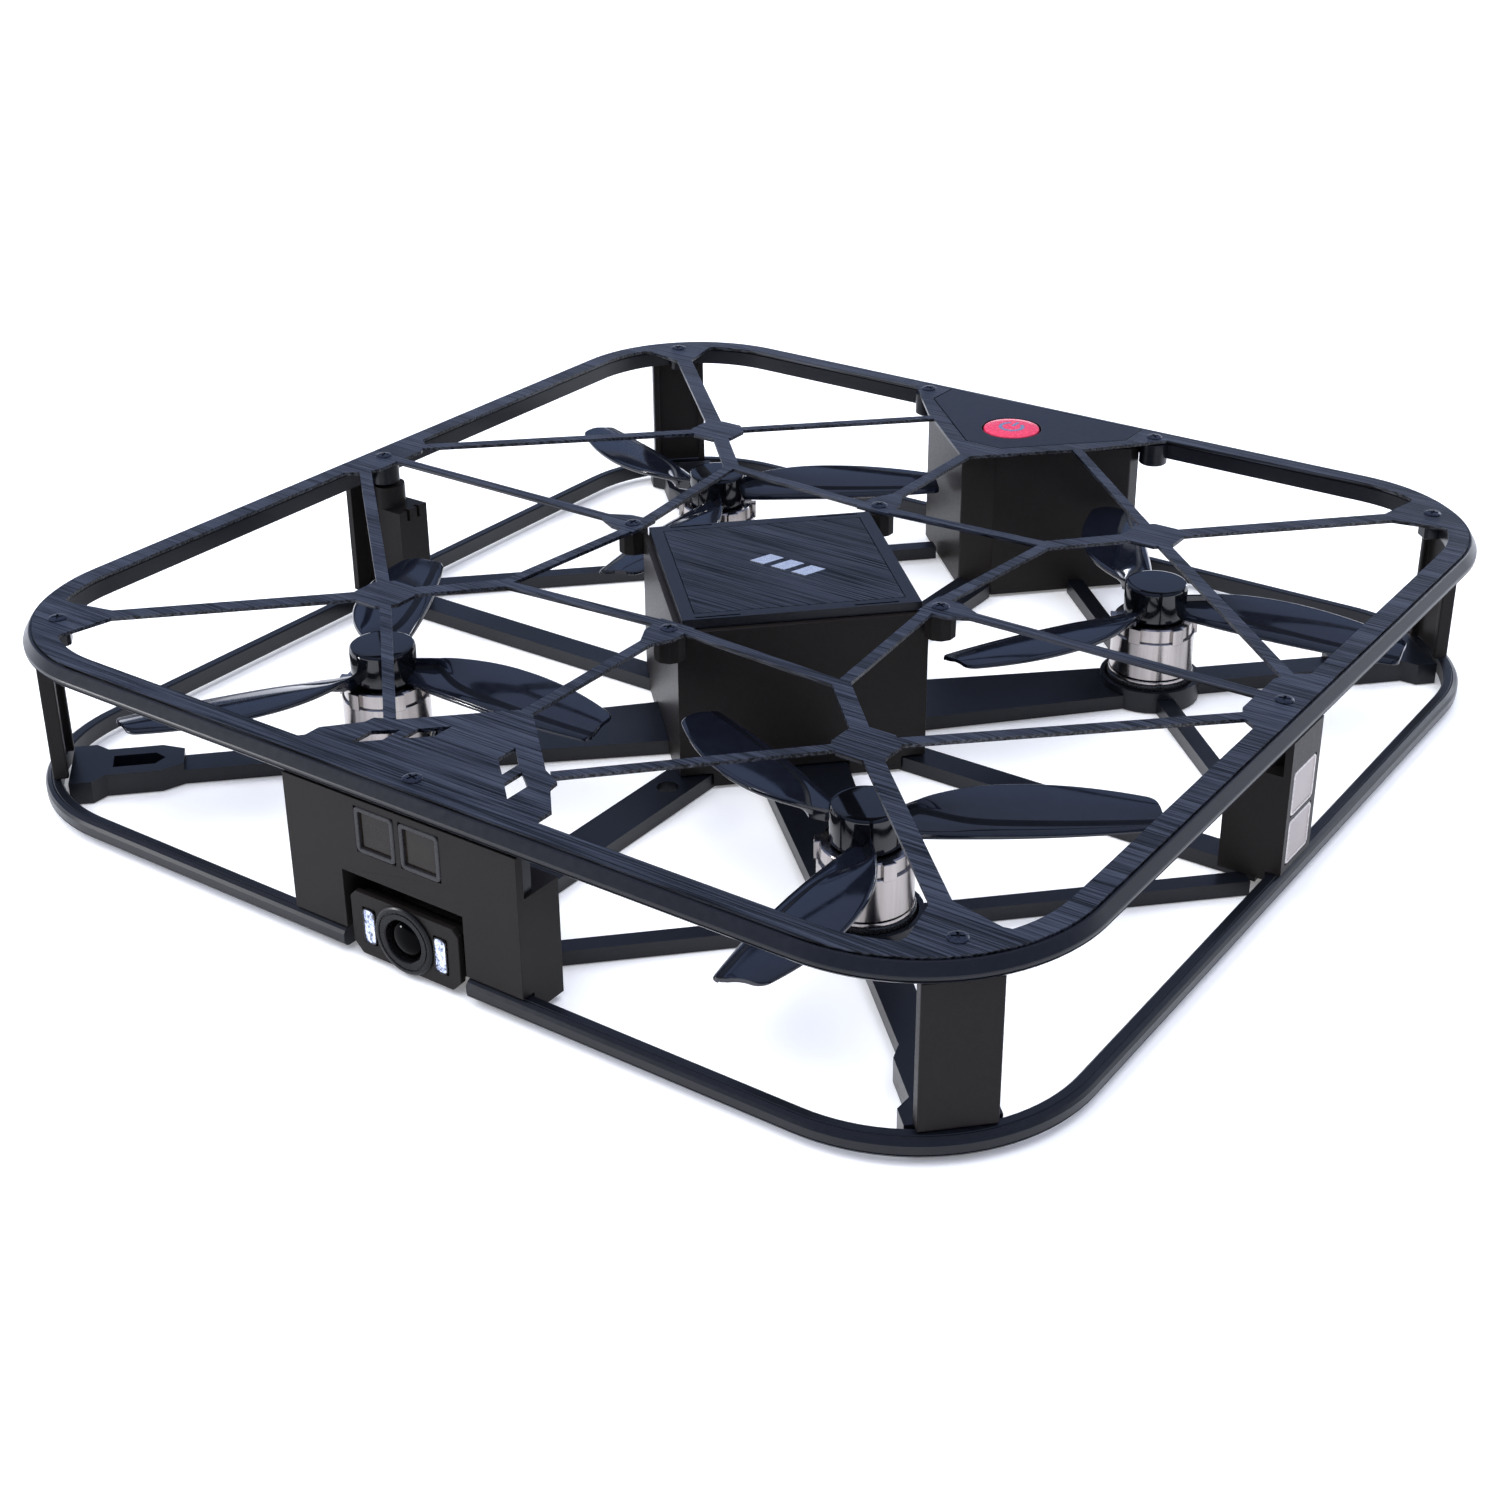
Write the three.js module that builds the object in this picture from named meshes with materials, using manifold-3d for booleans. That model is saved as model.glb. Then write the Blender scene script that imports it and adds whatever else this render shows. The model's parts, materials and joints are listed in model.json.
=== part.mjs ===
// Palm-sized quadcopter inside a square guard cage. Millimetres, +Z up, the lens looks along -Y.
// The origin is under the middle of the frame, at the height of the lowest face.
import * as THREE from 'three';
import { mergeVertices } from 'three/addons/utils/BufferGeometryUtils.js';
import Module from 'manifold-3d';

const wasm = await Module();
wasm.setup();

// ---- driving dimensions ----
const CAGE_HALF = 93;            // half width of the guard cage
const CAGE_CORNER_R = 28;        // outer corner radius of the cage
const GAP = 0.2;                 // clearance between pieces that touch
const PLATE_TOP = 29.7;
const PLATE_T = 0.6;
const PLATE_BOTTOM = PLATE_TOP - PLATE_T;
const PLATE_HALF = 91.45;
const RIM_INNER = 88.1;
const RING_BOTTOM = 26.3;        // underside of the upper guard ring
const RING_LIP_TOP = 29.4;
const RING_INNER = 88.4;
const LOW_RING_BOTTOM = 0.9;
const LOW_RING_TOP = 3.9;
const LOW_RING_INNER = 90.4;
const BEAM_TOP = 2.4;
const MOTOR_AT = 46.2;           // motor axes stand at (+-MOTOR_AT, +-MOTOR_AT)
const BODY_HALF_DIAG = 28.5;     // centre body, a square turned by 45 degrees
const BODY_TOP = 28;
const WALL = 1.2;
const BOSS_R = 2.6;
const BOSS_DEPTH = 4.2;
const CORNER_BOSS_R = 1.7;
const CORNER_BOSS_DEPTH = 3.4;
const SCREW_HOLE_R = 0.9;
const SCREW_SHANK_R = 0.7;
const SCREW_HEAD_R = 1.5;
const SCREW_HEAD_H = 0.3;
const SCREW_LENGTH = 3;
const CORNER_SCREW = 81;
const SIDE_SCREW = 88.25;
const REAR_SCREW_X = 24.6;
const CENTRE_SCREW = 30.5;
const STAR_CORNER = [32.4, 31.6];
const NODE_AT = 45.4;            // middle of the four plate nodes
const HOUSING_HALF = 21.2;       // front camera housing
const HOUSING_FRONT = -92.4;
const HOUSING_BACK = -84;
const HOUSING_BOTTOM = 0.9;
const HOUSING_TOP = 19.3;
const LENS_OPENING_HALF = 11.1;
const LENS_OPENING_TOP = 13.7;
const TILT_Y = -89.2;            // axis of the camera's tilt
const TILT_Z = 6;
const POD_INNER = 82.6;          // side pods
const POD_OUTER = 92.5;
const POD_HALF = 5.4;            // half width of the right pod
const LEFT_BLOCK = [-2.9, 4.3];  // the left pod's block is narrower than its skin
const LEFT_SKIN_HALF = 6.2;
const POD_TOP = 20.3;
const BUTTON_Y = 77.6;
const BUTTON_R = 5.3;
const PROP_R = 42.5;
const BLADE_REST = { front_right: 46, front_left: 10, rear_right: 13, rear_left: 47 };
const QUADRANTS = {
  front_right: [1, -1],
  front_left: [-1, -1],
  rear_right: [1, 1],
  rear_left: [-1, 1],
};
const DEG = Math.PI / 180;

// ---- materials ----
const material = (color, roughness, metalness) => new THREE.MeshStandardMaterial({ color, roughness, metalness });
const BRUSHED = material(0x2c3347, 0.38, 0.6);
const SATIN = material(0x2b3040, 0.45, 0.1);
const SHELL = material(0x2a2a2c, 0.6, 0);
const GLOSS = material(0x14161d, 0.12, 0);
const STEEL = material(0xc4bcb6, 0.22, 1);
const COPPER = material(0xa8683a, 0.4, 0.8);
const SCREW = material(0x1c2130, 0.4, 0.7);
const RED = material(0xc42a4a, 0.25, 0.1);
const LENS = material(0x08090c, 0.05, 0);
const LAMP = material(0xdfe6f2, 0.15, 0);
const SMOKED = material(0x3a332d, 0.2, 0);
const FROSTED = material(0xb4a59f, 0.5, 0);
const BOARD = material(0x1f4a38, 0.5, 0);
const CELL = material(0x3a4048, 0.5, 0.2);

// ---- solids ----
function toSolid(geometry) {
  const plain = geometry.clone();
  plain.deleteAttribute('normal');
  plain.deleteAttribute('uv');
  const merged = mergeVertices(plain, 1e-4);
  const vertProperties = new Float32Array(merged.attributes.position.array);
  const triVerts = new Uint32Array(merged.index.array);
  return new wasm.Manifold(new wasm.Mesh({ numProp: 3, vertProperties, triVerts }));
}

function toGeometry(solid) {
  const mesh = solid.simplify(0.01).getMesh();
  const geometry = new THREE.BufferGeometry();
  geometry.setAttribute('position', new THREE.BufferAttribute(new Float32Array(mesh.vertProperties), 3));
  geometry.setIndex(new THREE.BufferAttribute(new Uint32Array(mesh.triVerts), 1));
  geometry.computeVertexNormals();
  return geometry;
}

const join = (...solids) => solids.flat().reduce((a, b) => a.add(b));
const cut = (solid, ...tools) => tools.flat().reduce((a, b) => a.subtract(b), solid);

function polygon(points) {
  return new THREE.Shape(points.map(([x, y]) => new THREE.Vector2(x, y)));
}

// Upright prism of a shape between two heights; bevel rounds its outer edges.
function prism(shape, z0, z1, { bevel = 0, arc = 6 } = {}) {
  const geometry = new THREE.ExtrudeGeometry(shape, {
    depth: z1 - z0 - 2 * bevel,
    bevelEnabled: bevel > 0,
    bevelThickness: bevel,
    bevelSize: bevel,
    bevelOffset: -bevel,
    bevelSegments: 1,
    curveSegments: arc,
  });
  geometry.translate(0, 0, z0 + bevel);
  return toSolid(geometry);
}

function roundedSquare(half, radius) {
  const s = half - radius;
  const shape = new THREE.Shape();
  shape.absarc(s, s, radius, 0, 90 * DEG);
  shape.absarc(-s, s, radius, 90 * DEG, 180 * DEG);
  shape.absarc(-s, -s, radius, 180 * DEG, 270 * DEG);
  shape.absarc(s, -s, radius, 270 * DEG, 360 * DEG);
  shape.closePath();
  return shape;
}

// Solid with the cage's outline, drawn in to a given half width.
function cageSolid(half, z0, z1, bevel = 0) {
  return prism(roundedSquare(half, CAGE_CORNER_R - (CAGE_HALF - half)), z0, z1, { bevel, arc: 12 });
}

function box(x0, x1, y0, y1, z0, z1) {
  const geometry = new THREE.BoxGeometry(x1 - x0, y1 - y0, z1 - z0);
  geometry.translate((x0 + x1) / 2, (y0 + y1) / 2, (z0 + z1) / 2);
  return toSolid(geometry);
}

function cylinder(x, y, radius, z0, z1, sides = 10) {
  const geometry = new THREE.CylinderGeometry(radius, radius, z1 - z0, sides);
  geometry.rotateX(90 * DEG);
  geometry.translate(x, y, (z0 + z1) / 2);
  return toSolid(geometry);
}

// Cylinder lying along X, for the tilt axis.
function axle(x0, x1, y, z, radius, sides = 12) {
  const geometry = new THREE.CylinderGeometry(radius, radius, x1 - x0, sides);
  geometry.rotateZ(90 * DEG);
  geometry.translate((x0 + x1) / 2, y, z);
  return toSolid(geometry);
}

// Disc facing along Y, for the lens.
function disc(x, z, radius, y0, y1, sides = 20) {
  const geometry = new THREE.CylinderGeometry(radius, radius, y1 - y0, sides);
  geometry.translate(x, (y0 + y1) / 2, z);
  return toSolid(geometry);
}

// Straight bar from one plan point to another, whose width may taper.
function bar([ax, ay], [bx, by], widthA, widthB, z0, z1) {
  const length = Math.hypot(bx - ax, by - ay);
  const nx = -(by - ay) / length / 2;
  const ny = (bx - ax) / length / 2;
  return prism(polygon([
    [ax - nx * widthA, ay - ny * widthA],
    [bx - nx * widthB, by - ny * widthB],
    [bx + nx * widthB, by + ny * widthB],
    [ax + nx * widthA, ay + ny * widthA],
  ]), z0, z1);
}

const diamond = (r) => polygon([[r, 0], [0, r], [-r, 0], [0, -r]]);

// Outline that is the same on both sides of X = 0, from the points of its right half.
const mirrored = (points) => polygon([...points, ...points.map(([x, y]) => [-x, y]).reverse()]);

function lathe(x, y, profile, sides = 16) {
  const geometry = new THREE.LatheGeometry(profile.map(([r, z]) => new THREE.Vector2(r, z)), sides);
  geometry.rotateX(90 * DEG);
  geometry.translate(x, y, 0);
  return toSolid(geometry);
}

const drone = new THREE.Group();

function piece(name, solid, look) {
  const mesh = new THREE.Mesh(toGeometry(solid), look);
  mesh.name = name;
  drone.add(mesh);
  return mesh;
}

// ---- screw places ----
const sideScrewPlaces = {
  screw_front: [0, -88.4],
  screw_rear_right: [REAR_SCREW_X, 88.3],
  screw_rear_left: [-REAR_SCREW_X, 88.3],
  screw_side_right: [SIDE_SCREW, 0],
  screw_side_left: [-SIDE_SCREW, 0],
};
const screwPlaces = { ...sideScrewPlaces };
for (const [name, [sx, sy]] of Object.entries(QUADRANTS)) {
  screwPlaces[`screw_corner_${name}`] = [sx * CORNER_SCREW, sy * CORNER_SCREW];
}
const centreScrewPlaces = {
  screw_centre_right: [CENTRE_SCREW, 0],
  screw_centre_rear: [0, CENTRE_SCREW],
  screw_centre_left: [-CENTRE_SCREW, 0],
  screw_centre_front: [0, -CENTRE_SCREW],
};
const screwHoles = (places, z0, z1) => Object.values(places).map(([x, y]) => cylinder(x, y, SCREW_HOLE_R, z0, z1, 6));

// ---- upper plate: brushed truss sheet ----
const frontShield = mirrored([
  [1.3, -64.6], [13.4, -76.4], [16.8, -78.1], [17, -79.8], [21.2, -84.6], [21.2, -87.3], [23, -89.5],
]);
const rearShield = mirrored([[28.4, 89.5], [17.2, 75.8], [14.4, 73.3], [1.1, 60.3]]);
const rearInlay = (grow) => mirrored([
  [20.7 + grow, 90.6], [20.7 + grow, 83.8 - grow / 2], [3.6 + grow / 2, 67 - grow],
]);

// Corner gusset between the rim and the corner strut.
const cornerGusset = polygon([
  [76.2, 74.2], [84.3, 75.9], [87.2, 75.2], [CAGE_HALF, 75.2], [CAGE_HALF, CAGE_HALF],
  [75.2, CAGE_HALF], [75.2, 87.2], [75.9, 84.3], [74.2, 76.2],
]);

function upperPlate() {
  const slab = (shape) => prism(shape, PLATE_BOTTOM, PLATE_TOP);
  const strut = (a, b, width) => bar(a, b, width, width, PLATE_BOTTOM, PLATE_TOP);
  const outline = cageSolid(PLATE_HALF, PLATE_BOTTOM, PLATE_TOP);
  const rim = cut(outline, cageSolid(RIM_INNER, PLATE_BOTTOM - 1, PLATE_TOP + 1));
  const parts = [rim, slab(frontShield), slab(rearShield)];
  for (const [sx, sy] of Object.values(QUADRANTS)) {
    const at = (x, y) => [sx * x, sy * y];
    parts.push(slab(cornerGusset).scale([sx, sy, 1]).intersect(outline));
    const node = polygon([
      [-4.5, -2.1], [-2.1, -4.5], [2.1, -4.5], [4.5, -2.1], [4.5, 2.1], [2.1, 4.5], [-2.1, 4.5], [-4.5, 2.1],
    ]);
    parts.push(slab(node).translate([sx * NODE_AT, sy * NODE_AT, 0]));
    parts.push(strut(at(NODE_AT, NODE_AT), at(76.5, 76.5), 2.9));
    parts.push(strut(at(NODE_AT, NODE_AT), at(86.4, 6.9), 2.1));
    parts.push(strut(at(NODE_AT, NODE_AT), sy > 0 ? at(15.6, 74.4) : at(14.8, 77), 1.8));
    parts.push(strut(at(NODE_AT, NODE_AT), at(...STAR_CORNER), 2.8));
    parts.push(strut(at(29.4, 0.6), at(...STAR_CORNER), 2));
    parts.push(strut(at(0.6, 29.4), at(...STAR_CORNER), 2));
    parts.push(cylinder(...at(...STAR_CORNER), 1.4, PLATE_BOTTOM, PLATE_TOP, 8));
  }
  for (const side of [-1, 1]) {
    const tab = polygon([[28.2, -3.2], [33, -2.8], [36.5, -1], [36.5, 1], [33, 2.8], [28.2, 3.2]]);
    parts.push(slab(tab).scale([side, 1, 1]));
    parts.push(slab(tab).rotate([0, 0, 90 * side]));
    const gusset = polygon([[88.6, -10.6], [85.8, -8.6], [84.2, -5.6], [84.2, 5.6], [85.8, 8.6], [88.6, 10.6]]);
    parts.push(slab(gusset).scale([side, 1, 1]));
    parts.push(strut([side * 35, 0], [side * 85, 0], 2));
  }
  parts.push(strut([0, 34], [0, 62], 2));
  parts.push(strut([0, -35], [0, -66], 2));
  const vents = [];
  for (const side of [-1, 1]) {
    const upper = polygon([[5.8, -73.8], [9.3, -77.2], [9.3, -80.7], [5.8, -77.5]]);
    const lower = polygon([[11.1, -78.7], [14.3, -81.3], [14.3, -85.5], [11.1, -82.4]]);
    for (const vent of [upper, lower]) {
      vents.push(prism(vent, PLATE_BOTTOM - 1, PLATE_TOP + 1).scale([side, 1, 1]));
    }
  }
  return cut(
    join(parts),
    vents,
    prism(diamond(27.9), PLATE_BOTTOM - 1, PLATE_TOP + 1),
    prism(rearInlay(GAP), PLATE_BOTTOM - 1, PLATE_TOP + 1),
    screwHoles(screwPlaces, PLATE_BOTTOM - 1, PLATE_TOP + 1),
    screwHoles(centreScrewPlaces, PLATE_BOTTOM - 1, PLATE_TOP + 1),
  );
}
piece('upper_plate', upperPlate(), BRUSHED);

// ---- upper guard ring with its screw bosses ----
function upperRing() {
  const top = PLATE_BOTTOM - GAP;
  const shell = cut(
    cageSolid(CAGE_HALF, RING_BOTTOM, RING_LIP_TOP, 0.8),
    cageSolid(PLATE_HALF + GAP, top, RING_LIP_TOP + 1),
    cageSolid(RING_INNER, RING_BOTTOM - 1, RING_LIP_TOP + 1),
  );
  const sideBosses = Object.values(sideScrewPlaces).map(([x, y]) => cylinder(x, y, BOSS_R, top - BOSS_DEPTH, top));
  const cornerBosses = Object.values(QUADRANTS).map(([sx, sy]) => join(
    cylinder(sx * CORNER_SCREW, sy * CORNER_SCREW, CORNER_BOSS_R, top - CORNER_BOSS_DEPTH, top),
    bar([sx * CORNER_SCREW, sy * CORNER_SCREW], [sx * 82, sy * 82], 3.4, 3.4, top - CORNER_BOSS_DEPTH, top),
  ));
  return cut(join(shell, sideBosses, cornerBosses), screwHoles(screwPlaces, top - SCREW_LENGTH, top + 1));
}
piece('upper_guard_ring', upperRing(), SATIN);

// ---- lower guard ring, open in front of the lens ----
const lensGap = LENS_OPENING_HALF + 0.3;
piece('lower_guard_ring', cut(
  cageSolid(CAGE_HALF, LOW_RING_BOTTOM, LOW_RING_TOP, 0.4),
  cageSolid(LOW_RING_INNER, LOW_RING_BOTTOM - 1, LOW_RING_TOP + 1),
  box(-lensGap, lensGap, -CAGE_HALF - 1, -80, 0, 9),
), SATIN);

// ---- lower frame: arms, motor seats, beams and corner clips ----
const clipOutline = polygon([
  [98.3, 2.6], [101.8, 4.4], [110.4, 4.4], [112.4, 6.4], [115.9, 6.4],
  [115.9, -6.4], [112.4, -6.4], [110.4, -4.4], [101.8, -4.4], [98.3, -2.6],
]);
const clipSlot = polygon([[101.2, 0], [102.8, 1.9], [109.4, 1.9], [109.4, -1.9], [102.8, -1.9]]);
const MOTOR_DIAG = MOTOR_AT * Math.SQRT2;
const SEAT_R = 8.6;
const SEAT_BORE = 7.8;
const SEAT_TOP = 3.8;
const BASE_HALF_DIAG = BODY_HALF_DIAG - WALL * Math.SQRT2 - 0.3;

// Arms and beams that pass through the centre body's wall, wider by a clearance.
function spokes(clearance) {
  const grow = 2 * clearance;
  const top = BEAM_TOP + clearance;
  const parts = [];
  for (let turn = 45; turn < 360; turn += 90) {
    parts.push(bar([8, 0], [MOTOR_DIAG, 0], 15.4 + grow, 10.6 + grow, 0, top + 0.1).rotate([0, 0, turn]));
  }
  parts.push(bar([-POD_INNER - 5, 0], [POD_INNER + 5, 0], 5 + grow, 5 + grow, 0, top));
  parts.push(bar([0, 65.3], [0, -83.7], 7 + grow, 7 + grow, 0, top));
  return parts;
}

function lowerFrame() {
  const parts = [...spokes(0), prism(diamond(BASE_HALF_DIAG), 0, 1.6)];
  const ringBeam = (a, b) => bar(a, b, 3, 3, 0, BEAM_TOP);
  const bores = [];
  for (const [sx, sy] of Object.values(QUADRANTS)) {
    const turn = Math.atan2(sy, sx) / DEG;
    const [mx, my] = [sx * MOTOR_AT, sy * MOTOR_AT];
    parts.push(cylinder(mx, my, SEAT_R, 0, SEAT_TOP, 32));
    bores.push(cylinder(mx, my, SEAT_BORE, WALL, SEAT_TOP + 1, 32));
    parts.push(bar([MOTOR_DIAG + 4, 0], [100, 0], 5.6, 5.2, 0, BEAM_TOP + 0.1).rotate([0, 0, turn]));
    parts.push(prism(clipOutline, 0, SEAT_TOP).rotate([0, 0, turn]));
    bores.push(prism(clipSlot, 1.2, SEAT_TOP + 1).rotate([0, 0, turn]));
    parts.push(ringBeam([mx, my], [sx * 87.4, sy * 5.4]));
    parts.push(sy > 0 ? ringBeam([mx, my], [sx * 15.6, 76.8]) : ringBeam([mx, my], [sx * 10, -82.4]));
  }
  for (const [x, y] of [[0, CENTRE_SCREW + 1.4], [0, -CENTRE_SCREW - 1.4]]) {
    bores.push(cylinder(x, y, 1.8, -1, BEAM_TOP + 1, 12));
  }
  return cut(join(parts), bores);
}
piece('lower_frame', lowerFrame(), SATIN);

// ---- corner posts: channels open towards the middle ----
function cornerPost(turn) {
  const outer = 118.2;
  const channel = polygon([
    [outer - 2.4, -5.3], [outer, -5.3], [outer, 5.3], [outer - 2.4, 5.3],
    [outer - 2.4, 4.1], [outer - WALL, 4.1], [outer - WALL, -4.1], [outer - 2.4, -4.1],
  ]);
  return prism(channel, LOW_RING_TOP + GAP, RING_BOTTOM - GAP).rotate([0, 0, turn]);
}
for (const [name, [sx, sy]] of Object.entries(QUADRANTS)) {
  piece(`corner_post_${name}`, cornerPost(Math.atan2(sy, sx) / DEG), SHELL);
}

// ---- centre body: a square tube turned by 45 degrees, with corner bosses ----
function centreBody() {
  const tube = cut(
    prism(diamond(BODY_HALF_DIAG), 0.3, BODY_TOP),
    prism(diamond(BODY_HALF_DIAG - WALL * Math.SQRT2), -1, BODY_TOP + 1),
  );
  const top = PLATE_BOTTOM - GAP;
  const bosses = Object.values(centreScrewPlaces).map(([x, y]) => (
    cut(cylinder(x, y, BOSS_R, top - BOSS_DEPTH, top), prism(diamond(27.9), BODY_TOP, PLATE_TOP))
  ));
  return cut(
    join(tube, bosses),
    spokes(0.25),
    prism(diamond(BODY_HALF_DIAG - WALL * Math.SQRT2), -1, BODY_TOP + 1),
    screwHoles(centreScrewPlaces, top - SCREW_LENGTH, top + 1),
  );
}
piece('centre_body', centreBody(), SHELL);

// ---- battery: lifts straight up out of the centre body ----
const COVER_HALF_DIAG = 27.1;
const INLAY_HALF_DIAG = 23.9;
const BATTERY_HALF_DIAG = 25.6;
function batteryCover() {
  const cap = prism(diamond(COVER_HALF_DIAG), BODY_TOP + GAP, PLATE_TOP);
  const recess = prism(diamond(INLAY_HALF_DIAG + GAP), PLATE_TOP - 0.5, PLATE_TOP + 1);
  const slits = [];
  const side = COVER_HALF_DIAG / Math.SQRT2;
  for (const turn of [135, 315]) {
    for (const along of [-13.4, 12]) {
      slits.push(box(side - 0.9, side - 0.5, along - 3.6, along + 3.6, BODY_TOP, PLATE_TOP + 1).rotate([0, 0, turn]));
    }
  }
  return cut(cap, recess, slits);
}
piece('battery_cover', batteryCover(), SATIN);
piece('battery_cover_inlay', prism(diamond(INLAY_HALF_DIAG), PLATE_TOP - 0.3, PLATE_TOP), BRUSHED);
piece('battery_cell', prism(diamond(BATTERY_HALF_DIAG), 9, BODY_TOP), CELL);

// ---- main board in the bottom of the centre body, with its battery contacts ----
piece('main_board', join(
  prism(diamond(BATTERY_HALF_DIAG - 0.4), 3.2, 4.4),
  box(-6, 6, -2.4, 2.4, 4.4, 8.4),
  box(-7, 7, 6, 12, 4.4, 6),
), BOARD);

// ---- front housing: shield in front, boxed behind it, with a pocket for the camera ----
const PIVOT_R = 0.9;
const PIVOT_END = LENS_OPENING_HALF + 1.6;
const frontWindowAt = { front_window_right: 4.1, front_window_left: -4.1 };
const WINDOW_HALF = 3.65;
const WINDOW_BOTTOM = 17.7;
const WINDOW_TOP = 25;
function frontHousing() {
  const shield = box(-HOUSING_HALF, HOUSING_HALF, HOUSING_FRONT, HOUSING_FRONT + 1.4,
    LOW_RING_TOP + GAP, RING_BOTTOM - GAP);
  const back = box(-HOUSING_HALF, HOUSING_HALF, -90.1, HOUSING_BACK, HOUSING_BOTTOM, HOUSING_TOP);
  const upper = box(-HOUSING_HALF, HOUSING_HALF, -91.5, -90, LOW_RING_TOP + GAP, HOUSING_TOP);
  const pocket = box(-LENS_OPENING_HALF, LENS_OPENING_HALF, -95, HOUSING_BACK - 1, -1, LENS_OPENING_TOP);
  const windows = Object.values(frontWindowAt).map((x) => (
    box(x - WINDOW_HALF, x + WINDOW_HALF, -95, HOUSING_FRONT + 1.4, WINDOW_BOTTOM, WINDOW_TOP)
  ));
  const backBeam = box(-3.8, 3.8, HOUSING_BACK - 1.5, HOUSING_BACK + 1, -1, BEAM_TOP + GAP);
  const pivot = axle(-PIVOT_END - 0.2, PIVOT_END + 0.2, TILT_Y, TILT_Z, PIVOT_R + 0.3);
  const boss = box(-3, 3, -91.4, -80, RING_BOTTOM - 3, RING_BOTTOM + 1);
  return cut(join(shield, back, upper), pocket, windows, backBeam, pivot, cut(boss, box(-4, 4, -95, -91.2, 0, 40)));
}
piece('front_housing', frontHousing(), SHELL);
for (const [name, x] of Object.entries(frontWindowAt)) {
  const half = WINDOW_HALF - GAP;
  piece(name, box(x - half, x + half, HOUSING_FRONT + 0.4, HOUSING_FRONT + 1.2,
    WINDOW_BOTTOM + GAP, WINDOW_TOP - GAP), SMOKED);
}
piece('distance_sensor_board', join(
  box(-8.6, 8.6, -89.6, -88.6, HOUSING_TOP + GAP, 23.6),
  box(-6.4, -2.4, -90.7, -89.5, 20, 23),
  box(2.4, 6.4, -90.7, -89.5, 20, 23),
), BOARD);

// ---- camera: barrel that tilts on two pivots, with lens and lamps ----
function cameraBody() {
  const drum = axle(-9.6, 9.6, TILT_Y, TILT_Z, 3, 16);
  const nose = box(-9.6, 9.6, -91.6, TILT_Y, 2.6, 9.6);
  const facePlate = prism(polygon([
    [-10, -3.4], [-8.4, -5.1], [8.4, -5.1], [10, -3.4], [10, 3.9], [9, 5], [-9, 5], [-10, 3.9],
  ]), -0.5, 0.5).rotate([90, 0, 0]).translate([0, -91.9, 5.9]);
  const pivots = axle(-PIVOT_END, PIVOT_END, TILT_Y, TILT_Z, PIVOT_R, 10);
  const lampSeats = [-6.6, 6.6].map((x) => box(x - 1.2, x + 1.2, -93, -91.9, 2.9, 8.7));
  return cut(join(drum, nose, facePlate, pivots), lampSeats, disc(0, 5.9, 4.2, -93, -91, 16));
}
piece('camera_body', cameraBody(), SHELL);
piece('camera_lens_barrel', cut(
  join(disc(0, 5.9, 5.3, -92.9, -92.6, 28), disc(0, 5.9, 4, -92.7, -91.2)),
  disc(0, 5.9, 3, -93.5, -91.6),
), GLOSS);
piece('camera_lens_glass', lathe(0, 0, [
  [0, 0], [2.8, 0], [2.8, 0.5], [1.6, 1.05], [0, 1.25],
], 16).rotate([90, 0, 0]).translate([0, -91.7, 5.9]), LENS);
for (const [name, x] of [['camera_lamp_right', 6.6], ['camera_lamp_left', -6.6]]) {
  piece(name, box(x - 1, x + 1, -92.5, -92.1, 3.1, 8.5), LAMP);
}

// ---- side pods between the rings ----
function sidePod(side, [blockFrom, blockTo], skinHalf) {
  const block = box(POD_INNER, POD_OUTER, blockFrom, blockTo, BEAM_TOP + GAP, POD_TOP);
  const skin = box(POD_OUTER - WALL, POD_OUTER, -skinHalf, skinHalf, BEAM_TOP + GAP, RING_BOTTOM - GAP);
  const column = cylinder(SIDE_SCREW - 0.6, 0, 3, POD_TOP - 1, PLATE_BOTTOM - BOSS_DEPTH - 2 * GAP, 14);
  const ringRoom = box(LOW_RING_INNER - 0.3, 95, -8, 8, 0, LOW_RING_TOP + GAP);
  return cut(join(block, skin, column), ringRoom).scale([side, 1, 1]);
}
const podWindows = { side_light_upper: [13.3, 20.7], side_light_lower: [5.2, 12.6] };
const POD_WINDOW_HALF = 4.1;
const windowSeats = Object.values(podWindows).map(([z0, z1]) => (
  box(POD_OUTER - 0.9, POD_OUTER + 1, -POD_WINDOW_HALF, POD_WINDOW_HALF, z0, z1)
));
piece('side_light_pod', cut(sidePod(1, [-POD_HALF, POD_HALF], POD_HALF), windowSeats), SHELL);
for (const [name, [z0, z1]] of Object.entries(podWindows)) {
  const half = POD_WINDOW_HALF - GAP;
  piece(name, box(POD_OUTER - 0.7, POD_OUTER - 0.1, -half, half, z0 + GAP, z1 - GAP), FROSTED);
}
const PORT_AT = [0.7, 13];       // middle of the charging port on the left pod's outer face
const portBox = (outer, inner, half, tall) => (
  box(outer, inner, PORT_AT[0] - half, PORT_AT[0] + half, PORT_AT[1] - tall, PORT_AT[1] + tall)
);
const topSlots = [-0.6, 2].map((y) => box(-POD_INNER - 1, -POD_INNER + 1, y - 0.35, y + 0.35, 18.2, POD_TOP + 1));
piece('connector_pod', cut(sidePod(-1, LEFT_BLOCK, LEFT_SKIN_HALF), portBox(-95, -88, 2.8, 3.4), topSlots), SHELL);
piece('charging_port', cut(portBox(-92.3, -88.3, 2.6, 3.2), portBox(-95, -89, 2, 2.6)), STEEL);

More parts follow.
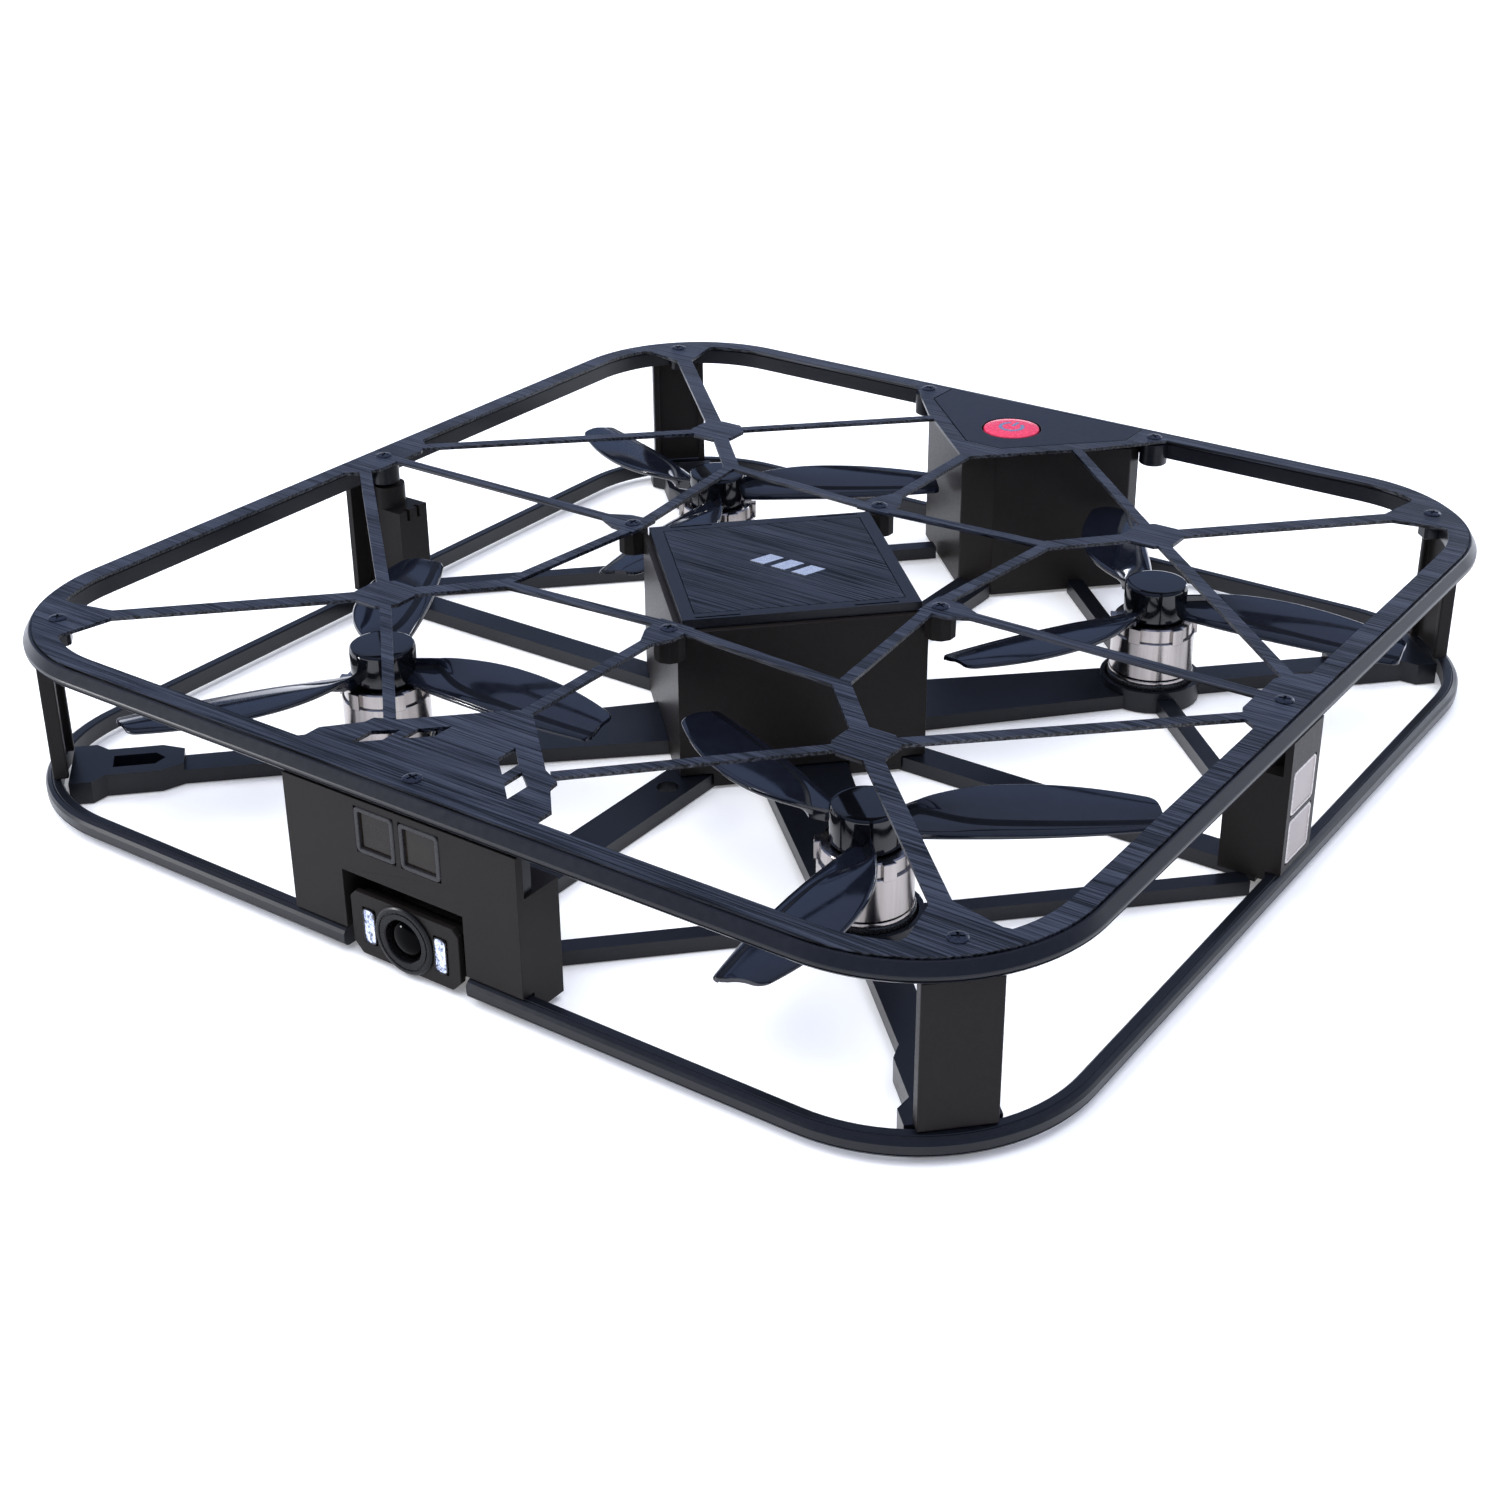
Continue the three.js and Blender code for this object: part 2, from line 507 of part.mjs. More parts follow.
// ---- rear module under the button ----
const rearOutline = (inset) => mirrored([
  [22 - inset, 87.9 - inset],
  [22 - inset, 84 + inset * 0.41],
  [3.6 - inset * 0.41, 65.6 + inset],
]);
piece('rear_module', cut(
  prism(rearOutline(0), 0.3, BODY_TOP + 0.4),
  prism(rearOutline(WALL), 1.6, BODY_TOP + 2),
), SHELL);
const buttonHole = BUTTON_R + 0.35;
piece('rear_panel', cut(
  prism(rearInlay(0), PLATE_BOTTOM, PLATE_TOP),
  cylinder(0, BUTTON_Y, buttonHole, PLATE_BOTTOM - 1, PLATE_TOP + 1, 24),
), SATIN);
piece('power_button', lathe(0, BUTTON_Y, [
  [0, 27.4], [4.2, 27.4], [4.2, 28.4], [BUTTON_R, 28.4], [BUTTON_R, 29.7], [4.9, 29.9], [0, 30],
], 24), RED);
piece('button_board', join(
  prism(rearOutline(2.2), 21.2, 22.4),
  box(-3, 3, BUTTON_Y - 3, BUTTON_Y + 3, 22.3, 25.4),
  cylinder(0, BUTTON_Y, 1.4, 25.3, 26.5, 10),
), BOARD);

// ---- motors and propellers ----
const BELL_R = 7.15;
const BELL_TOP = 14.8;
const HUB_R = 5.35;
const HUB_BOTTOM = 15;
const HUB_TOP = 21;
const BLADE_ROOT = 4.4;
const BLADE_STATIONS = 8;
const BLADE_T = 0.9;

// Edge lines of a blade that points along +X, as the distance across it at radius r.
const leadingEdge = (r) => -5.3 + 4.5 * (1 - Math.min(1, (r - BLADE_ROOT) / 36)) ** 2;
const trailingEdge = (r) => 7.7 - (r < 21 ? 0.02 : 0.0122) * (r - 21) ** 2;
const foldLine = (r) => leadingEdge(r) + 0.9 + 4 * Math.exp(-(((r - 8) / 8) ** 2));

// One blade: a thin box drawn out along X, folded down towards its leading edge.
function blade() {
  const geometry = new THREE.BoxGeometry(1, 1, 1, BLADE_STATIONS, 2, 1);
  const position = geometry.attributes.position;
  for (let i = 0; i < position.count; i += 1) {
    const s = position.getX(i) + 0.5;
    const across = Math.round(2 * position.getY(i));
    const r = BLADE_ROOT + s * (PROP_R - BLADE_ROOT) - (s > 0.99 ? 1.6 * Math.abs(across) : 0);
    const edge = [leadingEdge(r), foldLine(r), trailingEdge(r)][across + 1];
    const height = [15.6 + 0.5 * s, 16.9 - 0.2 * s, 18.3 - 1.2 * s][across + 1];
    position.setXYZ(i, r, edge, height + position.getZ(i) * BLADE_T * (1 - 0.4 * s));
  }
  return toSolid(geometry);
}

for (const [name, [sx, sy]] of Object.entries(QUADRANTS)) {
  const [mx, my] = [sx * MOTOR_AT, sy * MOTOR_AT];
  piece(`motor_base_${name}`, lathe(mx, my, [
    [1.2, 1.4], [7.5, 1.4], [7.5, 4.6], [7.1, 5.2], [2.2, 5.2], [2.2, 12.6], [1.2, 12.6], [1.2, 1.4],
  ]), SHELL);
  piece(`motor_stator_${name}`, lathe(mx, my, [
    [2.4, 6], [5.8, 6], [5.8, 12.4], [2.4, 12.4], [2.4, 6],
  ], 14), COPPER);
  piece(`motor_bell_${name}`, lathe(mx, my, [
    [0, 2], [0.8, 2], [0.8, 13.2], [6.3, 13.2], [6.3, 5.4], [BELL_R, 5.4], [BELL_R, 12.2],
    [BELL_R + 0.3, 12.4], [BELL_R + 0.3, 14.5], [BELL_R, BELL_TOP], [0, BELL_TOP],
  ]), STEEL);
  const hub = lathe(0, 0, [
    [0, HUB_BOTTOM], [HUB_R, HUB_BOTTOM], [HUB_R, HUB_TOP - 0.9], [HUB_R - 0.7, HUB_TOP - 0.2], [0, HUB_TOP],
  ]);
  const blades = [0, 120, 240].map((turn) => blade().rotate([0, 0, turn]));
  piece(`propeller_${name}`, join(hub, blades).rotate([0, 0, BLADE_REST[name]]).translate([mx, my, 0]), GLOSS);
}

// ---- screws ----
for (const [name, [x, y]] of Object.entries({ ...screwPlaces, ...centreScrewPlaces })) {
  const head = cylinder(x, y, SCREW_HEAD_R, PLATE_TOP + 0.02, PLATE_TOP + SCREW_HEAD_H, 10);
  const shank = cylinder(x, y, SCREW_SHANK_R, PLATE_TOP - SCREW_LENGTH, PLATE_TOP + 0.1, 5);
  piece(name, join(head, shank), SCREW);
}

export default drone;
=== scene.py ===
# Looks for the palm-sized caged quadcopter: fine surfaces, materials, studio and camera.
import json
import math
import bmesh
import bpy
from mathutils import Euler, Matrix, Vector


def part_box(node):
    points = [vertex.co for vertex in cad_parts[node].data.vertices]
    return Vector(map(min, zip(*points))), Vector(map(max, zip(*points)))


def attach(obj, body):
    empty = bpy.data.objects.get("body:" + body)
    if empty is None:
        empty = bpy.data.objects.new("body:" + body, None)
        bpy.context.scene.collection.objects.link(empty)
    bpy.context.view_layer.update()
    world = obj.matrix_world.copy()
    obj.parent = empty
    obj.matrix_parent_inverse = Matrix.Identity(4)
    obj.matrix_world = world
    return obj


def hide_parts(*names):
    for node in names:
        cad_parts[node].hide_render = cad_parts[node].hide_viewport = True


MM = 0.001
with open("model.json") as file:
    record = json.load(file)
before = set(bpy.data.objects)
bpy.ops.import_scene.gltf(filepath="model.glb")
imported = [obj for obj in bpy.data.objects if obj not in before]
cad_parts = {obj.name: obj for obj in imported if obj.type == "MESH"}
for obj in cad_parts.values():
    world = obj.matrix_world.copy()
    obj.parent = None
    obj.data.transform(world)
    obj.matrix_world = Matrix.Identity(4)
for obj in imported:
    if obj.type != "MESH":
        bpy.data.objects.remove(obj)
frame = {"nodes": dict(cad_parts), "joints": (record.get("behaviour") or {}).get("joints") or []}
NODES = frame["nodes"]
JOINTS = {joint["name"]: joint for joint in frame["joints"]}
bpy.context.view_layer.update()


def in_mm(box):
    """The two corners of a node's box, in millimetres. Pieces are drawn in millimetres below."""
    return [corner / MM for corner in box]


# ---------------------------------------------------------------- materials
FINE_SHARE = 0.65
BROAD_SHARE = 0.35
BROAD_SCALE = 0.06
COAT_ROUGHNESS = 0.05
NOISE_LOW, NOISE_HIGH = 0.3, 0.7
FINE_DEPTH = 0.00002
BRUSH_DEPTH = 0.00008
ALONG_X = (0.018, 1, 1)


def new_material(name):
    m = bpy.data.materials.new(name)
    m.use_nodes = True
    tree = m.node_tree
    shader = next(n for n in tree.nodes if n.type == "BSDF_PRINCIPLED")
    return m, tree, shader


def noise(tree, scale, detail=4.0, stretch=(1, 1, 1), rough=0.5):
    place = tree.nodes.new("ShaderNodeTexCoord")
    mapping = tree.nodes.new("ShaderNodeMapping")
    mapping.inputs["Scale"].default_value = stretch
    tex = tree.nodes.new("ShaderNodeTexNoise")
    tex.inputs["Scale"].default_value = scale
    tex.inputs["Detail"].default_value = detail
    tex.inputs["Roughness"].default_value = rough
    tree.links.new(place.outputs["Object"], mapping.inputs["Vector"])
    tree.links.new(mapping.outputs["Vector"], tex.inputs["Vector"])
    return tex.outputs["Fac"]


def weighted(tree, source, weight, extra=None):
    """source times weight, plus extra when it is given."""
    node = tree.nodes.new("ShaderNodeMath")
    node.operation = "MULTIPLY_ADD" if extra else "MULTIPLY"
    node.inputs[1].default_value = weight
    tree.links.new(source, node.inputs[0])
    if extra:
        tree.links.new(extra, node.inputs[2])
    return node.outputs[0]


def ramp(tree, source, stops):
    """Colour ramp through (position, colour) stops."""
    node = tree.nodes.new("ShaderNodeValToRGB")
    elements = node.color_ramp.elements
    while len(elements) < len(stops):
        elements.new(0.5)
    for element, (at, colour) in zip(elements, stops):
        element.position = at
        element.color = (*colour, 1)
    tree.links.new(source, node.inputs["Fac"])
    return node.outputs["Color"]


def span(tree, source, low, high):
    """Noise mapped to the range low..high."""
    node = tree.nodes.new("ShaderNodeMapRange")
    node.inputs["From Min"].default_value = NOISE_LOW
    node.inputs["From Max"].default_value = NOISE_HIGH
    node.inputs["To Min"].default_value = low
    node.inputs["To Max"].default_value = high
    tree.links.new(source, node.inputs["Value"])
    return node.outputs["Result"]


def bump(tree, shader, source, strength, distance):
    node = tree.nodes.new("ShaderNodeBump")
    node.inputs["Strength"].default_value = strength
    node.inputs["Distance"].default_value = distance
    tree.links.new(source, node.inputs["Height"])
    tree.links.new(node.outputs["Normal"], shader.inputs["Normal"])


def surface(name, dark, light, rough, metallic=0.0, scale=900, grain=0.15, depth=FINE_DEPTH,
            stretch=(1, 1, 1), coat=0.0, detail=4.0, specular=0.5, edges=(0.36, 0.64)):
    """Procedural finish: noise varies colour, roughness and fine relief, and specular if it is a pair."""
    m, tree, shader = new_material(name)
    tone = noise(tree, scale, detail, stretch)
    broad = noise(tree, scale * BROAD_SCALE, 3.0, stretch)
    mixed = weighted(tree, tone, FINE_SHARE, weighted(tree, broad, BROAD_SHARE))
    colour = ramp(tree, mixed, [(edges[0], dark), (edges[1], light)])
    tree.links.new(colour, shader.inputs["Base Color"])
    tree.links.new(span(tree, tone, rough[0], rough[1]), shader.inputs["Roughness"])
    shader.inputs["Metallic"].default_value = metallic
    if isinstance(specular, tuple):
        tree.links.new(span(tree, tone, specular[0], specular[1]), shader.inputs["Specular IOR Level"])
    else:
        shader.inputs["Specular IOR Level"].default_value = specular
    shader.inputs["Coat Weight"].default_value = coat
    shader.inputs["Coat Roughness"].default_value = COAT_ROUGHNESS
    bump(tree, shader, tone, grain, depth)
    return m


BRUSHED = surface("brushed_navy", (0.0006, 0.0008, 0.0014), (0.0200, 0.0240, 0.0370), (0.28, 0.42),
                  scale=2700, grain=0.8, depth=BRUSH_DEPTH, stretch=ALONG_X, detail=3,
                  specular=(0.12, 0.78), edges=(0.44, 0.60))
INLAY = surface("brushed_inlay", (0.0006, 0.0008, 0.0014), (0.0130, 0.0156, 0.0240), (0.28, 0.42),
                scale=2700, grain=0.8, depth=BRUSH_DEPTH, stretch=ALONG_X, detail=3,
                specular=(0.02, 0.50), edges=(0.44, 0.60))
SATIN = surface("satin_navy", (0.0046, 0.0052, 0.0075), (0.0062, 0.0072, 0.0106), (0.29, 0.34),
                scale=1100, grain=0.004, specular=0.28, edges=(0.30, 0.70))
SHELL = surface("matte_charcoal", (0.0116, 0.0098, 0.0090), (0.0148, 0.0129, 0.0119), (0.32, 0.42),
                scale=2600, grain=0.03, specular=0.08, edges=(0.30, 0.70))
GLOSS = surface("propeller_gloss", (0.0040, 0.0050, 0.0090), (0.0060, 0.0075, 0.0130), (0.07, 0.12),
                scale=700, grain=0.02)
# Painted shade: the fold band along the blade gets a darker colour than the rest of the blade, with a
# rougher, duller finish.
FOLD_SHADE = surface("propeller_fold_shade", (0.0018, 0.0021, 0.0035), (0.0030, 0.0035, 0.0055), (0.35, 0.5),
               scale=900, grain=0.02, specular=0.15)
HUB = surface("propeller_hub", (0.0022, 0.0024, 0.0034), (0.0034, 0.0036, 0.0048), (0.05, 0.09),
              scale=700, grain=0.02)
STEEL = surface("polished_steel", (0.34, 0.31, 0.295), (0.46, 0.425, 0.41), (0.14, 0.26),
                metallic=1.0, scale=1500, grain=0.05, stretch=(1, 1, 0.03))
COPPER = surface("copper_winding", (0.30, 0.12, 0.05), (0.62, 0.30, 0.14), (0.3, 0.5),
                 metallic=0.9, scale=2400, grain=0.5, stretch=(1, 1, 0.1))
BLACK_METAL = surface("black_screw", (0.012, 0.015, 0.024), (0.035, 0.042, 0.062), (0.24, 0.38),
                      metallic=0.7, scale=4000, grain=0.1)
RED = surface("crimson_button", (0.50, 0.018, 0.055), (0.68, 0.035, 0.085), (0.20, 0.30),
              scale=1500, grain=0.04, coat=0.3)
ICON = surface("button_icon", (0.42, 0.50, 0.66), (0.62, 0.68, 0.80), (0.18, 0.30),
               metallic=0.9, scale=5000)
LENS_BLACK = surface("lens_barrel", (0.006, 0.006, 0.007), (0.012, 0.012, 0.013), (0.22, 0.34),
                     scale=3000, grain=0.05)
LENS_RING = surface("lens_ring", (0.0030, 0.0030, 0.0034), (0.0050, 0.0050, 0.0056), (0.24, 0.34),
                    scale=3000, grain=0.03, specular=0.16)
LENS_GLASS = surface("lens_glass", (0.0003, 0.0003, 0.0004), (0.0008, 0.0008, 0.0012), (0.06, 0.09),
                     scale=900, grain=0.0, specular=0.03)
SMOKED = surface("smoked_window", (0.0075, 0.0058, 0.0045), (0.019, 0.0145, 0.0105), (0.10, 0.2),
                 scale=260, grain=0.02, specular=0.16, edges=(0.35, 0.65))
WINDOW_RIM = surface("window_rim", (0.016, 0.0156, 0.0164), (0.026, 0.0253, 0.0267), (0.25, 0.4),
                     scale=3000, grain=0.05, specular=0.22)
PALE_RIM = surface("pale_rim", (0.42, 0.38, 0.36), (0.58, 0.53, 0.50), (0.2, 0.35),
                   scale=3000, grain=0.05)
FROSTED = surface("frosted_window", (0.27, 0.225, 0.21), (0.36, 0.31, 0.29), (0.30, 0.5),
                  scale=1600, grain=0.06)
BOARD = surface("solder_mask", (0.008, 0.045, 0.026), (0.014, 0.075, 0.042), (0.3, 0.5),
                scale=2500, grain=0.2)
WRAP = surface("battery_wrap", (0.030, 0.034, 0.040), (0.055, 0.060, 0.070), (0.3, 0.5),
               scale=1200, grain=0.2)
SILVER = surface("silver_mark", (0.66, 0.70, 0.78), (0.78, 0.81, 0.86), (0.2, 0.3),
                 metallic=0.8, scale=1200, grain=0.01)


def lamp_material():
    """Lamp lens over a faceted reflector: bright patches broken by dark ones."""
    m, tree, shader = new_material("lamp_lens")
    cells = noise(tree, 1500, 4.0, (1, 1, 0.7), 0.75)
    gap, shade, glare = (0.03, 0.035, 0.06), (0.45, 0.52, 0.75), (0.95, 0.97, 1.0)
    tint = ramp(tree, cells, [(0.40, gap), (0.50, shade), (0.62, glare)])
    tree.links.new(tint, shader.inputs["Base Color"])
    tree.links.new(tint, shader.inputs["Emission Color"])
    shader.inputs["Emission Strength"].default_value = 0.35
    tree.links.new(span(tree, cells, 0.08, 0.2), shader.inputs["Roughness"])
    shader.inputs["Coat Weight"].default_value = 1.0
    bump(tree, shader, cells, 0.3, 0.00005)
    return m


LAMP = lamp_material()


# ---------------------------------------------------------------- mesh helpers
MERGE_DISTANCE = 1e-7
TINY = 1e-9


def make(name, verts, faces, materials, body, node=None, sharp=35, face_material=None):
    """A piece from millimetre vertices, riding a body and standing for a CAD node if one is named."""
    mesh = bpy.data.meshes.new(name)
    mesh.from_pydata([tuple(Vector(v) * MM) for v in verts], [], faces)
    for m in materials if isinstance(materials, (list, tuple)) else [materials]:
        mesh.materials.append(m)
    if face_material is not None:
        mesh.polygons.foreach_set("material_index", face_material)
    work = bmesh.new()
    work.from_mesh(mesh)
    bmesh.ops.remove_doubles(work, verts=work.verts, dist=MERGE_DISTANCE)
    bmesh.ops.recalc_face_normals(work, faces=work.faces)
    work.to_mesh(mesh)
    work.free()
    mesh.polygons.foreach_set("use_smooth", [True] * len(mesh.polygons))
    mesh.set_sharp_from_angle(angle=math.radians(sharp))
    obj = bpy.data.objects.new(name, mesh)
    bpy.context.scene.collection.objects.link(obj)
    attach(obj, body)
    if node:
        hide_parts(*([node] if isinstance(node, str) else node))
    return obj


class Build:
    """Collects vertices (in millimetres) and faces of one piece, each face with its material number."""

    def __init__(self):
        self.verts = []
        self.faces = []
        self.marks = []

    def add(self, verts, faces, mark=0):
        base = len(self.verts)
        self.verts += [Vector(v) for v in verts]
        self.faces += [tuple(base + i for i in f) for f in faces]
        self.marks += [mark] * len(faces)
        return self

    def lathe(self, profile, centre=(0, 0, 0), sides=64, axis="Z", mark=0):
        """Turned solid: profile is (radius, height) pairs from axis to axis, or closed on itself."""
        rings = []
        verts = []
        for r, h in profile:
            if r < TINY:
                rings.append([len(verts)])
                verts.append((0, 0, h))
            else:
                rings.append([len(verts) + i for i in range(sides)])
                for i in range(sides):
                    turn = 2 * math.pi * i / sides
                    verts.append((r * math.cos(turn), r * math.sin(turn), h))
        faces = []
        for a, b in zip(rings, rings[1:]):
            for i in range(sides):
                j = (i + 1) % sides
                if len(a) == 1 and len(b) > 1:
                    faces.append((a[0], b[i], b[j]))
                elif len(b) == 1 and len(a) > 1:
                    faces.append((a[i], a[j], b[0]))
                elif len(a) > 1 and len(b) > 1:
                    faces.append((a[i], a[j], b[j], b[i]))
        upright = Matrix.Identity(3)
        forward = Matrix(((1, 0, 0), (0, 0, -1), (0, 1, 0)))
        pose = upright if axis == "Z" else forward
        return self.add([pose @ Vector(v) + Vector(centre) for v in verts], faces, mark)

    def prism(self, outline, low, high, mark=0, bevel=0.0):
        """Upright prism of a plan outline, its top and bottom edges chamfered by bevel."""
        n = len(outline)
        rows = [(low, 0), (high, 0)]
        if bevel:
            rows = [(low, bevel), (low + bevel, 0), (high - bevel, 0), (high, bevel)]
        verts = []
        for z, inset in rows:
            verts += [(p[0], p[1], z) for p in offset(outline, -inset)]
        faces = [tuple(reversed(range(n))), tuple(range((len(rows) - 1) * n, len(rows) * n))]
        for k in range(len(rows) - 1):
            for i in range(n):
                j = (i + 1) % n
                faces.append((k * n + i, k * n + j, (k + 1) * n + j, (k + 1) * n + i))
        return self.add(verts, faces, mark)

    def object(self, name, materials, body, node=None, slot=None, sharp=35):
        return make(name, self.verts, self.faces, materials, body, node, sharp, self.marks)


def offset(outline, amount):
    """Outline moved outwards by amount (inwards if negative), for convex or gently bent outlines."""
    if not amount:
        return [tuple(p) for p in outline]
    n = len(outline)
    area = 0
    for i in range(n):
        p, q = outline[i], outline[(i + 1) % n]
        area += p[0] * q[1] - q[0] * p[1]
    turn = 1 if area > 0 else -1
    moved = []
    for i in range(n):
        a, b, c = Vector(outline[i - 1]), Vector(outline[i]), Vector(outline[(i + 1) % n])
        d1, d2 = (b - a).normalized(), (c - b).normalized()
        n1, n2 = Vector((d1.y, -d1.x)) * turn, Vector((d2.y, -d2.x)) * turn
        mid = (n1 + n2) / max(1 + n1.dot(n2), 0.2)
        moved.append(tuple(b + mid * amount))
    return moved


# ---------------------------------------------------------------- carried-over CAD nodes
WELD_DISTANCE = 1e-6
FLAT_ANGLE = math.radians(1.5)
EDGE_ANGLE = math.radians(35)


def finish_node(name, material, bevel=0.2, segments=2, dissolve=True):
    """Fine chamfers (bevel in millimetres) on a CAD node, by modifiers only."""
    node = NODES[name]
    node.data.materials.clear()
    node.data.materials.append(material)
    if "custom_normal" in node.data.attributes:
        node.data.attributes.remove(node.data.attributes["custom_normal"])
    node.data.polygons.foreach_set("use_smooth", [bool(bevel)] * len(node.data.polygons))
    weld = node.modifiers.new("weld", "WELD")
    weld.merge_threshold = WELD_DISTANCE
    if dissolve:
        flat = node.modifiers.new("flat", "DECIMATE")
        flat.decimate_type = "DISSOLVE"
        flat.angle_limit = FLAT_ANGLE
    if bevel:
        edge = node.modifiers.new("edge", "BEVEL")
        edge.width = bevel * MM
        edge.segments = segments
        edge.limit_method = "ANGLE"
        edge.angle_limit = EDGE_ANGLE
        edge.harden_normals = True
        edge.miter_outer = "MITER_ARC"


# ---------------------------------------------------------------- guard rings
CORNER_RADIUS = 28
ARC_STEPS = 24


def cage_stations(gap=None):
    """Places along the cage's outline, each a function from half width to the point in plan."""
    low, high = in_mm(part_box("upper_guard_ring"))
    half = (high.x - low.x) / 2
    centre = half - CORNER_RADIUS
    stations = []

    def straight(angle, along):
        out = Vector((math.cos(angle), math.sin(angle)))
        side = Vector((-out.y, out.x))
        stations.append(lambda h, o=out, s=side, a=along: o * h + s * a)

    def bend(angle, middle):
        out = Vector((math.cos(angle), math.sin(angle)))
        stations.append(lambda h, o=out, c=middle: c + o * (CORNER_RADIUS - (half - h)))

    start = math.radians(-90)
    if gap:
        straight(start, gap)
    for k in range(4):
        first = start + k * math.pi / 2
        out = Vector((math.cos(first), math.sin(first)))
        side = Vector((-out.y, out.x))
        if not (gap and k == 0):
            straight(first, 0)
        for i in range(ARC_STEPS + 1):
            bend(first + i / ARC_STEPS * math.pi / 2, (out + side) * centre)
    if gap:
        straight(start, -gap)
    return stations


def sweep(build, profile, stations, closed):
    """Carries a (half width, height) profile round the stations."""
    n = len(profile)
    verts = []
    for at in stations:
        verts += [(*at(h), z) for h, z in profile]
    faces = []
    count = len(stations)
    for k in range(count if closed else count - 1):
        m = (k + 1) % count
        for i in range(n):
            j = (i + 1) % n
            faces.append((k * n + i, k * n + j, m * n + j, m * n + i))
    if not closed:
        faces.append(tuple(range(n)))
        faces.append(tuple(reversed(range((count - 1) * n, count * n))))
    return build.add(verts, faces)


def cage_section(points):
    """Section of a guard ring, from (distance in from the outer face, height) pairs."""
    return [(OUTER - inward, z) for inward, z in points]


low, high = in_mm(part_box("upper_guard_ring"))
OUTER = high.x
RING_TOP = high.z
RING_BOTTOM = 26.3
LEDGE = in_mm(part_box("upper_plate"))[0].z - 0.2
BOSS_TOP = LEDGE - 0.05

ring = Build()
underside = [(4.6, RING_BOTTOM - 0.30), (4.5, RING_BOTTOM - 0.35), (3.3, RING_BOTTOM - 0.35),
             (3.2, RING_BOTTOM), (1.0, RING_BOTTOM)]
outer_face = [(0.45, RING_BOTTOM + 0.35), (0.05, RING_BOTTOM + 0.75), (0.2, RING_BOTTOM + 0.85),
              (0, RING_BOTTOM + 1.05), (0, RING_TOP - 1.75), (0.06, RING_TOP - 1.55)]
lip_and_seat = [(0.98, RING_TOP - 0.10), (1.15, RING_TOP), (1.42, RING_TOP - 0.04),
                (1.42, LEDGE), (4.45, LEDGE), (4.6, LEDGE - 0.15)]
sweep(ring, cage_section(underside + outer_face + lip_and_seat), cage_stations(), True)

CORNER_BOSS = ((-1.7, -1.2), (-1.2, -1.7), (1.6, -1.7), (1.6, 1.7), (-1.2, 1.7), (-1.7, 1.2))
CORNER_BOSS_DEPTH = 3.4
ROUND_BOSS_DEPTH = 4.2
ROUND_BOSS_RADIUS = 2.6
for name in NODES:
    if not name.startswith("screw_") or name.startswith("screw_centre"):
        continue
    a, b = in_mm(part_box(name))
    c = (a + b) / 2
    if name.startswith("screw_corner"):
        p = Vector((c.x, c.y))
        out = p.normalized()
        side = Vector((-out.y, out.x))
        corners = [tuple(p + out * u + side * w) for u, w in CORNER_BOSS]
        ring.prism(corners, LEDGE - CORNER_BOSS_DEPTH, BOSS_TOP, bevel=0.15)
    else:
        bottom = LEDGE - ROUND_BOSS_DEPTH
        ring.lathe([(0, bottom), (ROUND_BOSS_RADIUS - 0.2, bottom), (ROUND_BOSS_RADIUS, bottom + 0.2),
                    (ROUND_BOSS_RADIUS, BOSS_TOP), (0, BOSS_TOP)], (c.x, c.y, 0), 32)

# Two webs under the ring close the ends of the slot behind the front housing's skin.
WEB_IN, WEB_OUT, WEB_LOW = 18.8, 20.6, 19.4
WEB_FRONT, WEB_BACK = 1.8 - OUTER, 4.2 - OUTER
for side in (-1, 1):
    ring.prism([(side * WEB_IN, WEB_FRONT), (side * WEB_OUT, WEB_FRONT),
                (side * WEB_OUT, WEB_BACK), (side * WEB_IN, WEB_BACK)], WEB_LOW, RING_BOTTOM + 0.2)
ring.object("guard_ring_upper", SATIN, "airframe", "upper_guard_ring", "satin_plastic", 12)

LOW_RING_GAP = 11.4
low, high = in_mm(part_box("lower_guard_ring"))
ring = Build()
underside = [(2.6, low.z + 0.25), (2.4, low.z), (0.8, low.z), (0.35, low.z + 0.2)]
outer_face = [(0.05, low.z + 0.6), (0.18, low.z + 0.7), (0, low.z + 0.85), (0, high.z - 0.9)]
top_face = [(0.3, high.z - 0.4), (0.9, high.z - 0.08), (1.1, high.z - 0.12), (1.2, high.z),
            (2.35, high.z), (2.6, high.z - 0.2)]
sweep(ring, cage_section(underside + outer_face + top_face), cage_stations(LOW_RING_GAP), False)
ring.object("guard_ring_lower", SATIN, "airframe", "lower_guard_ring", "satin_plastic", 12)

# ---------------------------------------------------------------- plate, frame and housings
# Bevels break the many-cornered faces of the first four, so they keep the CAD's edges.
finish_node("upper_plate", BRUSHED, 0, dissolve=False)
finish_node("side_light_pod", SHELL, 0, dissolve=False)
finish_node("battery_cover", SATIN, 0, dissolve=False)
finish_node("battery_cover_inlay", INLAY, 0, dissolve=False)
finish_node("lower_frame", SATIN, 0.35)
for name in NODES:
    if name.startswith("corner_post"):
        finish_node(name, SHELL, 0.3)
finish_node("centre_body", SHELL, 0.25)
finish_node("front_housing", SHELL, 0.3)
finish_node("connector_pod", SHELL, 0.3)
finish_node("rear_module", SHELL, 0.35)
finish_node("rear_panel", SATIN, 0.1)
finish_node("battery_cell", WRAP, 1.2, 3)
finish_node("main_board", BOARD, 0.15, 1)
finish_node("button_board", BOARD, 0.15, 1)
finish_node("distance_sensor_board", BOARD, 0.1, 1)
finish_node("charging_port", STEEL, 0.2)
finish_node("camera_body", SHELL, 0.25)

